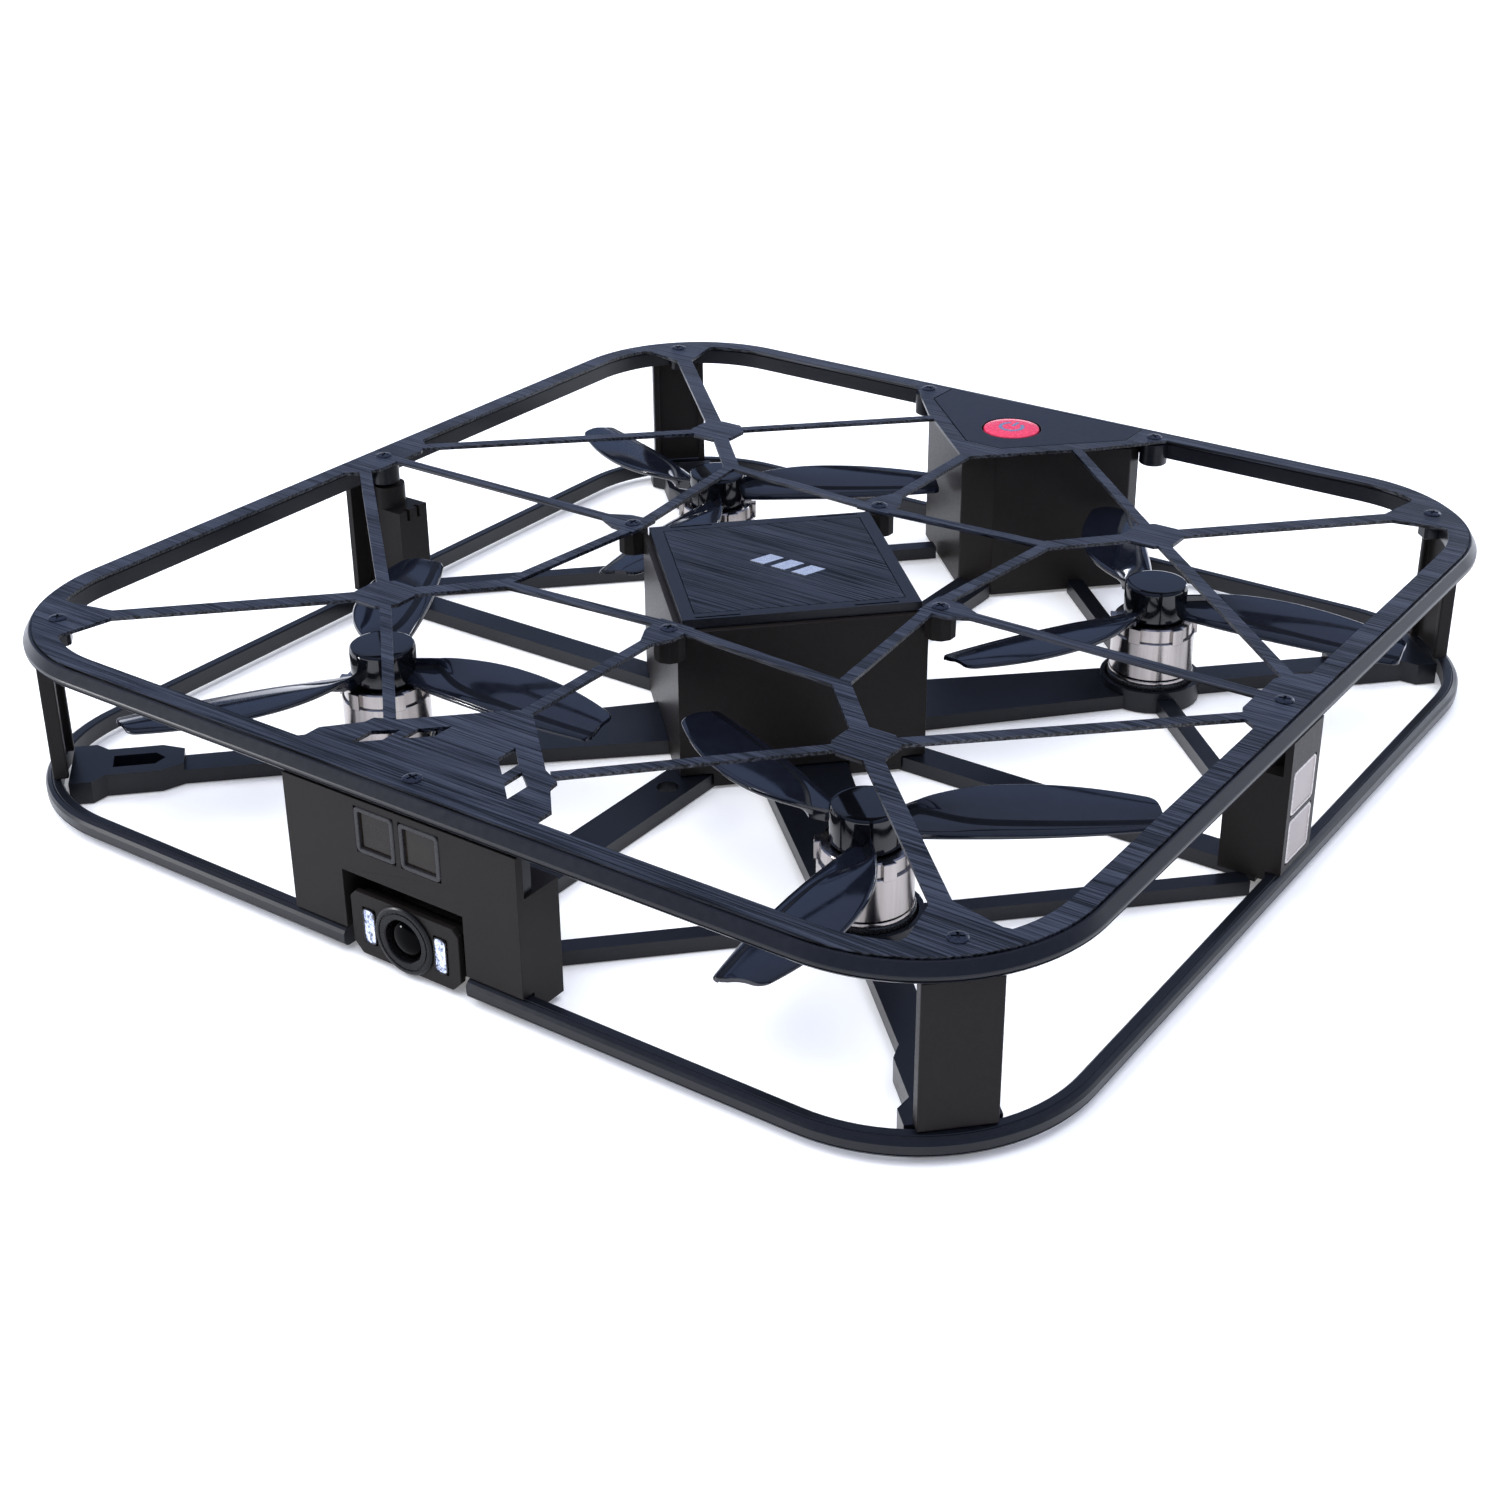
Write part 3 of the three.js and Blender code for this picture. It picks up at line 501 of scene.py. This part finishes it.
# ---------------------------------------------------------------- small generic mark on the battery cover
MARK_MIDDLE, MARK_PITCH = 1.4, 4.1
MARK_HALF_DEPTH, MARK_SHORT = 2.0, 0.7
low, high = in_mm(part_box("battery_cover_inlay"))
mark = Build()
for k in (-1, 0, 1):
    x = MARK_MIDDLE + MARK_PITCH * k
    mark.prism([(x - MARK_HALF_DEPTH, -MARK_HALF_DEPTH), (x + MARK_SHORT, -MARK_HALF_DEPTH),
                (x + MARK_HALF_DEPTH, MARK_HALF_DEPTH), (x - MARK_SHORT, MARK_HALF_DEPTH)],
               high.z - 0.02, high.z + 0.09)
mark.object("cover_mark", SILVER, "battery", slot="polished_steel")

# ---------------------------------------------------------------- front windows, lamps and lens
SEAT_CLEARANCE = 0.15
PANE_CORNER, LEAST_CORNER = 0.7, 0.25
RIM_ROOT = 0.3
RIM_EDGE = 0.1


def rounded(x0, x1, y0, y1, radius, steps=5):
    """Rectangle with rounded corners."""
    points = []
    for cx, cy, start in ((x1 - radius, y1 - radius, 0), (x0 + radius, y1 - radius, 90),
                          (x0 + radius, y0 + radius, 180), (x1 - radius, y0 + radius, 270)):
        for i in range(steps + 1):
            a = math.radians(start + 90 * i / steps)
            points.append((cx + radius * math.cos(a), cy + radius * math.sin(a)))
    return points


def framed_pane(name, node, slot, pane, rim, axis, out, frame_width, proud, body="airframe"):
    """A rounded window: a thin rim raised by proud round a pane at height out. axis is the way it faces."""
    low, high = in_mm(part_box(node))
    across = "x" if axis == "-Y" else "y"
    side0, side1 = getattr(low, across), getattr(high, across)

    def to_world(p, d):
        return (p[0], low.y - d, p[1]) if axis == "-Y" else (high.x + d, p[0], p[1])

    def outline(inset):
        """Window outline drawn in from the seat's edge."""
        inset -= SEAT_CLEARANCE
        corner = max(PANE_CORNER - inset, LEAST_CORNER)
        return rounded(side0 + inset, side1 - inset, low.z + inset, high.z - inset, corner)

    outer, crest, lip, inner = (outline(d) for d in (0, 0.12, frame_width - RIM_EDGE, frame_width))
    n = len(outer)
    rows = [(outer, -RIM_ROOT), (outer, proud - RIM_EDGE), (crest, proud), (lip, proud),
            (inner, proud - RIM_EDGE), (inner, out)]
    verts = []
    for ring_points, d in rows:
        verts += [to_world(p, d) for p in ring_points]
    rim_faces = []
    for k in range(len(rows) - 1):
        for i in range(n):
            j = (i + 1) % n
            rim_faces.append((k * n + i, k * n + j, (k + 1) * n + j, (k + 1) * n + i))
    pane_face = tuple(range((len(rows) - 1) * n, len(rows) * n))
    back_face = tuple(reversed(range(n)))
    b = Build()
    b.add(verts, rim_faces + [pane_face, back_face])
    b.marks = [1] * len(rim_faces) + [0, 1]
    b.object(name, [pane, rim], body, node, slot)


for side in ("right", "left"):
    framed_pane("window_front_" + side, "front_window_" + side, "smoked_window", SMOKED, WINDOW_RIM, "-Y",
                0.05, 0.72, 0.52)
for level in ("upper", "lower"):
    framed_pane("window_side_" + level, "side_light_" + level, "frosted_window", FROSTED, PALE_RIM, "+X",
                0.02, 0.4, 0.16)
for side in ("right", "left"):
    framed_pane("lamp_" + side, "camera_lamp_" + side, "lamp_lens", LAMP, LENS_BLACK, "-Y",
                -0.05, 0.18, 0.12, "camera")

# Heights along the barrel grow towards -Y, the front, because its lathe is turned that way.
low, high = in_mm(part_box("camera_lens_barrel"))
lens_middle = ((low.x + high.x) / 2, 0, (low.z + high.z) / 2)
front, back = -low.y, -high.y
BARREL_RADIUS = (high.x - low.x) / 2
TUBE_RADIUS = 4.0
DOME_RADIUS = 3.1
DOME_DEPTH = 1.5
barrel = Build()
tube = [(0, back), (TUBE_RADIUS, back), (TUBE_RADIUS, front - 0.5)]
flange = [(BARREL_RADIUS - 0.1, front - 0.5), (BARREL_RADIUS, front - 0.4),
          (BARREL_RADIUS, front - 0.22), (BARREL_RADIUS - 0.25, front - 0.05),
          (BARREL_RADIUS - 0.45, front), (BARREL_RADIUS - 0.75, front)]
groove = [(BARREL_RADIUS - 0.82, front - 0.14), (BARREL_RADIUS - 0.98, front - 0.14),
          (BARREL_RADIUS - 1.05, front)]
well = [(3.45, front - 0.02), (3.3, front - 0.15), (DOME_RADIUS, front - DOME_DEPTH),
        (0, front - DOME_DEPTH)]
barrel.lathe(tube + flange + groove + well, lens_middle, 96, "Y")
barrel.object("lens_barrel", LENS_RING, "camera", "camera_lens_barrel", "lens_barrel", 30)

dome = Build()
dome_profile = [(0, front - DOME_DEPTH - 0.1), (DOME_RADIUS, front - DOME_DEPTH - 0.1)]
for degrees in range(0, 90, 6):
    a = math.radians(degrees)
    dome_profile.append((DOME_RADIUS * math.cos(a), front - DOME_DEPTH + DOME_DEPTH * math.sin(a)))
dome.lathe(dome_profile + [(0, front)], lens_middle, 72, "Y")
dome.object("lens_dome", LENS_GLASS, "camera", "camera_lens_glass", "lens_glass", 60)

# ---------------------------------------------------------------- power button with its ring mark
STEM_RADIUS = 4.2
STEM_HEIGHT = 1.0
low, high = in_mm(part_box("power_button"))
bx, by = (low.x + high.x) / 2, (low.y + high.y) / 2
cap_radius = (high.x - low.x) / 2
top = high.z
button = Build()
button.lathe([(0, low.z), (STEM_RADIUS, low.z), (STEM_RADIUS, low.z + STEM_HEIGHT),
              (cap_radius, low.z + STEM_HEIGHT), (cap_radius, top - 0.55), (cap_radius - 0.12, top - 0.3),
              (cap_radius - 0.4, top - 0.2), (3.4, top - 0.08), (1.8, top - 0.03), (0, top - 0.02)],
             (bx, by, 0), 96)
button.object("button_cap", RED, "button", "power_button", "red_button", 40)

MARK_INNER, MARK_OUTER = 1.75, 2.45
MARK_DEPTH = 0.08
ARC_START, ARC_SWEEP, MARK_STEPS = 122, 296, 40
STROKE_HALF, STROKE_LOW, STROKE_HIGH = 0.33, 0.4, 2.7
icon = Build()
arc = [math.radians(ARC_START + ARC_SWEEP * i / MARK_STEPS) for i in range(MARK_STEPS + 1)]
outline = [(bx + MARK_OUTER * math.cos(a), by + MARK_OUTER * math.sin(a)) for a in arc]
outline += [(bx + MARK_INNER * math.cos(a), by + MARK_INNER * math.sin(a)) for a in reversed(arc)]
verts = []
for z in (top - MARK_DEPTH, top):
    verts += [(x, y, z) for x, y in outline]
n = len(outline)
faces = []
for i in range(MARK_STEPS):
    faces.append((i, i + 1, n - 2 - i, n - 1 - i))
    faces.append((n + i, n + n - 1 - i, n + n - 2 - i, n + i + 1))
for i in range(n):
    j = (i + 1) % n
    faces.append((i, j, n + j, n + i))
icon.add(verts, faces)
icon.prism([(bx - STROKE_HALF, by + STROKE_LOW), (bx + STROKE_HALF, by + STROKE_LOW),
            (bx + STROKE_HALF, by + STROKE_HIGH), (bx - STROKE_HALF, by + STROKE_HIGH)],
           top - MARK_DEPTH, top)
icon.object("button_mark", ICON, "button", slot="polished_steel")


# ---------------------------------------------------------------- screws: domed heads with a cross recess
def screw_mesh(radius, head, length):
    """Domed head with a cross cut into it and a plain shank, its seat at height 0."""
    dome = [(radius, head * 0.35), (radius * 0.9, head * 0.72), (radius * 0.6, head * 0.93), (0, head)]
    head_part = Build().lathe([(0, -0.6 * head), (radius, -0.6 * head), *dome], sides=48)
    obj = make("screw_template", head_part.verts, head_part.faces, BLACK_METAL, "airframe")
    arm, wide = radius * 0.62, radius * 0.13
    tools = []
    for k, (x, y, floor_z) in enumerate(((arm, wide, -0.2 * head), (wide, arm, -0.25 * head))):
        slot = Build().prism([(-x, -y), (x, -y), (x, y), (-x, y)], floor_z, 3 * head)
        tools.append(make(f"screw_cut_{k}", slot.verts, slot.faces, BLACK_METAL, "airframe"))
        modifier = obj.modifiers.new(f"cut{k}", "BOOLEAN")
        modifier.operation = "DIFFERENCE"
        modifier.object = tools[-1]
        modifier.solver = "EXACT"
    shank = Build().lathe([(0, -length), (radius * 0.4, -length), (radius * 0.46, -length + 0.2),
                           (radius * 0.46, -0.5 * head), (0, -0.5 * head)], sides=20)
    bpy.context.view_layer.update()
    graph = bpy.context.evaluated_depsgraph_get()
    mesh = bpy.data.meshes.new_from_object(obj.evaluated_get(graph))
    work = bmesh.new()
    work.from_mesh(mesh)
    made = [work.verts.new(v * MM) for v in shank.verts]
    for f in shank.faces:
        work.faces.new([made[i] for i in f])
    bmesh.ops.remove_doubles(work, verts=work.verts, dist=MERGE_DISTANCE)
    work.to_mesh(mesh)
    work.free()
    mesh.polygons.foreach_set("use_smooth", [True] * len(mesh.polygons))
    mesh.set_sharp_from_angle(angle=math.radians(30))
    for o in [obj, *tools]:
        bpy.data.objects.remove(o)
    return mesh


FIRST_TURN, TURN_STEP = 0.35, 1.3
low, high = in_mm(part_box("screw_front"))
plate_top = in_mm(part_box("upper_plate"))[1].z
SCREW = screw_mesh((high.x - low.x) / 2, high.z - plate_top, plate_top - low.z)
for k, name in enumerate(sorted(n for n in NODES if n.startswith("screw_"))):
    low, high = in_mm(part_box(name))
    obj = bpy.data.objects.new(name.replace("screw_", "cross_screw_"), SCREW)
    bpy.context.scene.collection.objects.link(obj)
    obj.location = Vector(((low.x + high.x) / 2, (low.y + high.y) / 2, plate_top)) * MM
    obj.rotation_euler = Euler((0, 0, FIRST_TURN + TURN_STEP * k))
    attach(obj, "airframe")
    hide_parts(name)

# ---------------------------------------------------------------- propeller blades
# r is the radius along a blade and "across" runs from the front edge to the rear one.
BLADE_ROOT, BLADE_TIP = 4.4, 42.5
TIP_CORNER = 1.1
FOLD_BAND = 1.1
EDGE_ROUNDING = 0.5
SLOPE_STEPS, FOLD_STEPS, REAR_STEPS = 7, 5, 16
GLOSS_MARK, FOLD_SHADE_MARK, HUB_MARK = 0, 1, 2


def leading(r):
    return -5.3 + 4.5 * (1 - min(1, (r - BLADE_ROOT) / 36)) ** 2


def trailing(r):
    return 7.7 - (0.02 if r < 21 else 0.0122) * (r - 21) ** 2


def fold(r):
    """Middle of the fold line that runs along the blade behind its front slope."""
    along = (r - BLADE_ROOT) / 38
    return leading(r) + 2.35 - 1.2 * along ** 2 + 3.0 * math.exp(-(((r - 7) / 5.5) ** 2))


def blade_height(r, u):
    """Height of the blade's middle surface: u is 0..1 on the front slope, 1..2 on the fold, 2..3 behind."""
    s = (r - BLADE_ROOT) / (BLADE_TIP - BLADE_ROOT)
    z_lead, z_low, z_high, z_rear = 15.5 + 0.6 * s, 16.15 + 0.35 * s, 16.75 - 0.05 * s, 18.2 - 1.1 * s
    if u < 1:
        return z_lead + (z_low - z_lead) * math.sin(u * math.pi / 2)
    if u < 2:
        return z_low + (z_high - z_low) * (0.5 - 0.5 * math.cos((u - 1) * math.pi))
    return z_high + (z_rear - z_high) * (u - 2) + 0.3 * math.sin((u - 2) * math.pi)


def blade_section(r):
    """Points across the blade at radius r: (across, height, half thickness), front edge first."""
    into = max(0.0, TIP_CORNER - (BLADE_TIP - r))
    inset = TIP_CORNER - math.sqrt(max(TIP_CORNER * TIP_CORNER - into * into, 0))
    lead, rear = leading(r) + inset, trailing(r) - inset
    fold_start = min(max(fold(r) - FOLD_BAND / 2, lead + 0.15), rear - FOLD_BAND - 0.4)
    fold_end = fold_start + FOLD_BAND
    points = []
    for j in range(SLOPE_STEPS):
        f = 1 - math.cos(j / SLOPE_STEPS * math.pi / 2)
        points.append((lead + (fold_start - lead) * f, f))
    for j in range(FOLD_STEPS):
        f = j / FOLD_STEPS
        points.append((fold_start + FOLD_BAND * f, 1 + f))
    for j in range(REAR_STEPS + 1):
        f = math.sin(j / REAR_STEPS * math.pi / 2)
        points.append((fold_end + (rear - fold_end) * f, 2 + f))
    full = 0.62 - 0.32 * (r - BLADE_ROOT) / (BLADE_TIP - BLADE_ROOT)
    section = []
    for across, u in points:
        near = min(across - lead, rear - across) / EDGE_ROUNDING
        taper = math.sqrt(max(0.0, 1 - (1 - min(near, 1)) ** 2))
        section.append((across, blade_height(r, u), full * (0.12 + 0.88 * taper)))
    return section


def add_blade(build, turn, middle):
    """One blade, turned about the hub's middle: an upper and a lower skin, closed at every edge."""
    spin = Matrix.Rotation(turn, 3, "Z")
    even = BLADE_TIP - 1.3 - BLADE_ROOT
    radii = [BLADE_ROOT + even * i / 40 for i in range(41)]
    radii += [BLADE_TIP - TIP_CORNER * (1 - math.sin(i / 8 * math.pi / 2)) for i in range(9)]
    sections = [blade_section(r) for r in radii]
    rows = len(radii)
    cols = len(sections[0])
    lower = rows * cols
    verts = []
    for side in (1, -1):
        for r, section in zip(radii, sections):
            verts += [spin @ Vector((r, across, z + side * half)) + middle for across, z, half in section]
    faces = []
    marks = []
    for i in range(rows - 1):
        for j in range(cols - 1):
            a, b = i * cols + j, (i + 1) * cols + j
            # Faces on the fold band take the darker material, painted shade along the crease.
            on_fold = SLOPE_STEPS <= j < SLOPE_STEPS + FOLD_STEPS
            faces += [(a, b, b + 1, a + 1), (lower + a, lower + a + 1, lower + b + 1, lower + b)]
            marks += [FOLD_SHADE_MARK if on_fold else GLOSS_MARK, GLOSS_MARK]
        for j in (0, cols - 1):
            a, b = i * cols + j, (i + 1) * cols + j
            faces.append((a, lower + a, lower + b, b))
            marks.append(GLOSS_MARK)
    for i in (0, rows - 1):
        for j in range(cols - 1):
            a = i * cols + j
            faces.append((a, a + 1, lower + a + 1, lower + a))
            marks.append(GLOSS_MARK)
    build.add(verts, faces)
    build.marks[-len(marks):] = marks


def rest_angle(place, hub):
    """Angle of one blade, from the CAD propeller's farthest points. hub is in metres, as the node is."""
    points = [v.co for v in NODES["propeller_" + place].data.vertices]
    far = sorted(points, key=lambda p: -(Vector((p.x, p.y)) - hub).length)[:2]
    middle = (far[0] + far[1]) / 2 - Vector((hub.x, hub.y, 0))
    return math.atan2(middle.y, middle.x)


# ---------------------------------------------------------------- motors
BASE_RADIUS, BASE_TOP = 7.45, 4.5
TUBE_INNER, TUBE_OUTER = 1.2, 2.2
COIL_COUNT = 9
COIL = ((2.5, -0.8), (5.6, -1.75), (5.6, 1.75), (2.5, 0.8))
CAN_LOW = 4.75
CAN_INNER, CAN_OUTER = 6.3, 7.1
LUG_COUNT, LUG_WIDE, LUG_STEPS = 6, math.radians(8), 6
LUG_INNER, LUG_OUTER, LUG_LOW = 6.4, 7.45, 12.0
HUB_LOW, HUB_RADIUS = 15.0, 5.35
AIM_RADIUS = 41.5

for place in ("front_right", "front_left", "rear_right", "rear_left"):
    pos = JOINTS["spin_" + place]["pos_m"]
    hub = Vector((pos[0], pos[1]))
    centre = hub / MM
    at = Vector((centre.x, centre.y, 0))
    rotor = "rotor_" + place

    low, high = in_mm(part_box("motor_base_" + place))
    base = Build()
    base.lathe([(TUBE_INNER, low.z), (BASE_RADIUS - 0.15, low.z), (BASE_RADIUS, low.z + 0.2),
                (BASE_RADIUS, BASE_TOP), (BASE_RADIUS - 0.15, BASE_TOP + 0.15),
                (BASE_RADIUS - 0.4, BASE_TOP + 0.2), (BASE_RADIUS - 0.45, BASE_TOP + 0.6),
                (TUBE_OUTER, BASE_TOP + 0.65), (TUBE_OUTER, high.z), (TUBE_INNER, high.z),
                (TUBE_INNER, low.z)], at, 72)
    base.object("motor_mount_" + place, LENS_BLACK, "airframe", "motor_base_" + place, "matte_shell", 30)

    low, high = in_mm(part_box("motor_stator_" + place))
    winding = Build()
    for k in range(COIL_COUNT):
        a = 2 * math.pi * k / COIL_COUNT
        out = Vector((math.cos(a), math.sin(a)))
        side = Vector((-out.y, out.x))
        winding.prism([tuple(centre + out * u + side * w) for u, w in COIL], low.z, high.z, bevel=0.25)
    winding.object("motor_winding_" + place, COPPER, "airframe", "motor_stator_" + place, "windings", 40)

    low, high = in_mm(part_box("motor_bell_" + place))
    can_top = high.z
    lip = [(CAN_INNER, CAN_LOW + 0.8), (6.9, CAN_LOW + 0.5), (7.15, CAN_LOW + 0.5), (7.2, CAN_LOW + 0.4),
           (7.2, CAN_LOW + 0.05), (7.05, CAN_LOW), (6.4, CAN_LOW), (CAN_INNER, CAN_LOW + 0.1),
           (CAN_INNER, CAN_LOW + 0.8)]
    shaft_and_roof = [(0, low.z), (0.8, low.z), (0.8, 13.2), (6.2, 13.2)]
    wall = [(CAN_INNER, 5.5), (6.95, 5.4), (CAN_OUTER, 5.55), (CAN_OUTER, 12.15), (7.0, 12.3)]
    crown = [(6.72, 12.35), (6.7, can_top - 0.25), (6.5, can_top - 0.05), (0, can_top - 0.05)]
    bell = Build()
    bell.lathe(lip, at, 96)
    bell.lathe(shaft_and_roof + wall + crown, at, 96)
    for k in range(LUG_COUNT):
        mid = math.radians(30 + 60 * k)
        steps = [mid - LUG_WIDE + 2 * LUG_WIDE * i / LUG_STEPS for i in range(LUG_STEPS + 1)]
        shape = [(at.x + LUG_OUTER * math.cos(a), at.y + LUG_OUTER * math.sin(a)) for a in steps]
        shape += [(at.x + LUG_INNER * math.cos(a), at.y + LUG_INNER * math.sin(a)) for a in reversed(steps)]
        bell.prism(shape, LUG_LOW, can_top, bevel=0.1)
    bell.object("motor_can_" + place, STEEL, rotor, "motor_bell_" + place, "polished_steel", 30)

    low, high = in_mm(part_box("propeller_" + place))
    hub_top = high.z
    blades = Build()
    blades.lathe([(0, HUB_LOW), (5.1, HUB_LOW), (5.3, HUB_LOW + 0.2), (HUB_RADIUS, hub_top - 0.75),
                  (5.27, hub_top - 0.42), (5.08, hub_top - 0.16), (4.8, hub_top - 0.04), (4.4, hub_top),
                  (0, hub_top)], at, 96, mark=HUB_MARK)
    aim = math.atan2((leading(AIM_RADIUS) + trailing(AIM_RADIUS)) / 2, AIM_RADIUS)
    first = rest_angle(place, hub)
    for k in range(3):
        add_blade(blades, first - aim + k * 2 * math.pi / 3, at)
    blades.object("rotor_blades_" + place, [GLOSS, FOLD_SHADE, HUB], rotor, "propeller_" + place,
                  "propeller_gloss", 30)


# ---------------------------------------------------------------- studio, in metres
def floor_material():
    m, tree, shader = new_material("studio_floor")
    tone = noise(tree, 3.0)
    tree.links.new(ramp(tree, tone, [(0.3, (0.93, 0.93, 0.93)), (0.7, (0.95, 0.95, 0.95))]),
                   shader.inputs["Base Color"])
    shader.inputs["Roughness"].default_value = 0.9
    shader.inputs["Specular IOR Level"].default_value = 0.1
    shader.inputs["Emission Color"].default_value = (1.0, 0.985, 0.96, 1)
    shader.inputs["Emission Strength"].default_value = 0.20
    return m


# A flat disc that rises gently to its edge, so the floor fills more of the picture from low angles.
FLAT_RADIUS, EDGE_RADIUS, EDGE_HEIGHT, FLOOR_SIDES = 5.0, 12.0, 1.4, 64
turns = [2 * math.pi * i / FLOOR_SIDES for i in range(FLOOR_SIDES)]
floor_points = [(FLAT_RADIUS * math.cos(a), FLAT_RADIUS * math.sin(a), 0) for a in turns]
floor_points += [(EDGE_RADIUS * math.cos(a), EDGE_RADIUS * math.sin(a), EDGE_HEIGHT) for a in turns]
floor_faces = [tuple(range(FLOOR_SIDES))]
for i in range(FLOOR_SIDES):
    j = (i + 1) % FLOOR_SIDES
    floor_faces.append((i, j, FLOOR_SIDES + j, FLOOR_SIDES + i))
floor_mesh = bpy.data.meshes.new("studio_floor")
floor_mesh.from_pydata(floor_points, [], floor_faces)
floor_mesh.materials.append(floor_material())
floor = bpy.data.objects.new("studio_floor", floor_mesh)
floor.location.z = -0.0002
bpy.context.scene.collection.objects.link(floor)

# The sky darkens to navy at the horizon.
SKY = [(0.0, (0.10, 0.13, 0.22)), (0.3, (0.22, 0.30, 0.52)),
       (0.55, (0.34, 0.43, 0.70)), (0.9, (0.50, 0.58, 0.85))]
SKY_STRENGTH = 0.92
world = bpy.data.worlds.new("studio")
bpy.context.scene.world = world
world.use_nodes = True
tree = world.node_tree
back = next(n for n in tree.nodes if n.type == "BACKGROUND")
place = tree.nodes.new("ShaderNodeTexCoord")
split = tree.nodes.new("ShaderNodeSeparateXYZ")
tree.links.new(place.outputs["Generated"], split.inputs["Vector"])
tree.links.new(ramp(tree, split.outputs["Z"], SKY), back.inputs["Color"])
back.inputs["Strength"].default_value = SKY_STRENGTH


def area(name, location, size, power, color, aim=(0, 0, 0.015)):
    light = bpy.data.lights.new(name, "AREA")
    light.shape = "RECTANGLE"
    light.size, light.size_y = size
    light.energy = power
    light.color = color
    obj = bpy.data.objects.new(name, light)
    obj.location = location
    obj.rotation_mode = "QUATERNION"
    obj.rotation_quaternion = (Vector(aim) - Vector(location)).to_track_quat("-Z", "Y")
    bpy.context.scene.collection.objects.link(obj)
    return obj


area("key_left", (-0.9, -0.6, 0.9), (0.25, 0.12), 2, (1.0, 0.96, 0.93))

# The spark makes the small highlight on the lens. It gives no diffuse light.
spark = area("lens_spark", (-0.60, -0.62, 0.06), (0.09, 0.09), 3.0, (1.0, 1.0, 1.0),
             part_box("camera_lens_glass")[0])
spark.visible_camera = False
spark.visible_diffuse = False
area("rim_back", (0.2, 1.3, 0.5), (0.6, 0.08), 3, (0.90, 0.94, 1.0))

sun = bpy.data.lights.new("soft_top", "SUN")
sun.energy = 3.9
sun.angle = math.radians(90)
sun_obj = bpy.data.objects.new("soft_top", sun)
sun_obj.rotation_euler = Euler((math.radians(8), math.radians(-12), 0))
sun_obj.visible_glossy = False
bpy.context.scene.collection.objects.link(sun_obj)

CAMERA_PLACE = (0.1933, -0.2829, 0.1784)
CAMERA_LOOK = (-0.5034, 0.7412, -0.4442)
camera = bpy.data.cameras.new("camera")
camera.sensor_width = 36
camera.lens = 54.54
camera.shift_x = -0.0243
camera.shift_y = -0.0476
camera.clip_start = 0.01
camera.clip_end = 50
camera_obj = bpy.data.objects.new("camera", camera)
camera_obj.location = CAMERA_PLACE
camera_obj.rotation_mode = "QUATERNION"
camera_obj.rotation_quaternion = Vector(CAMERA_LOOK).to_track_quat("-Z", "Y")
bpy.context.scene.collection.objects.link(camera_obj)
bpy.context.scene.camera = camera_obj
bpy.context.scene.view_settings.view_transform = "Standard"
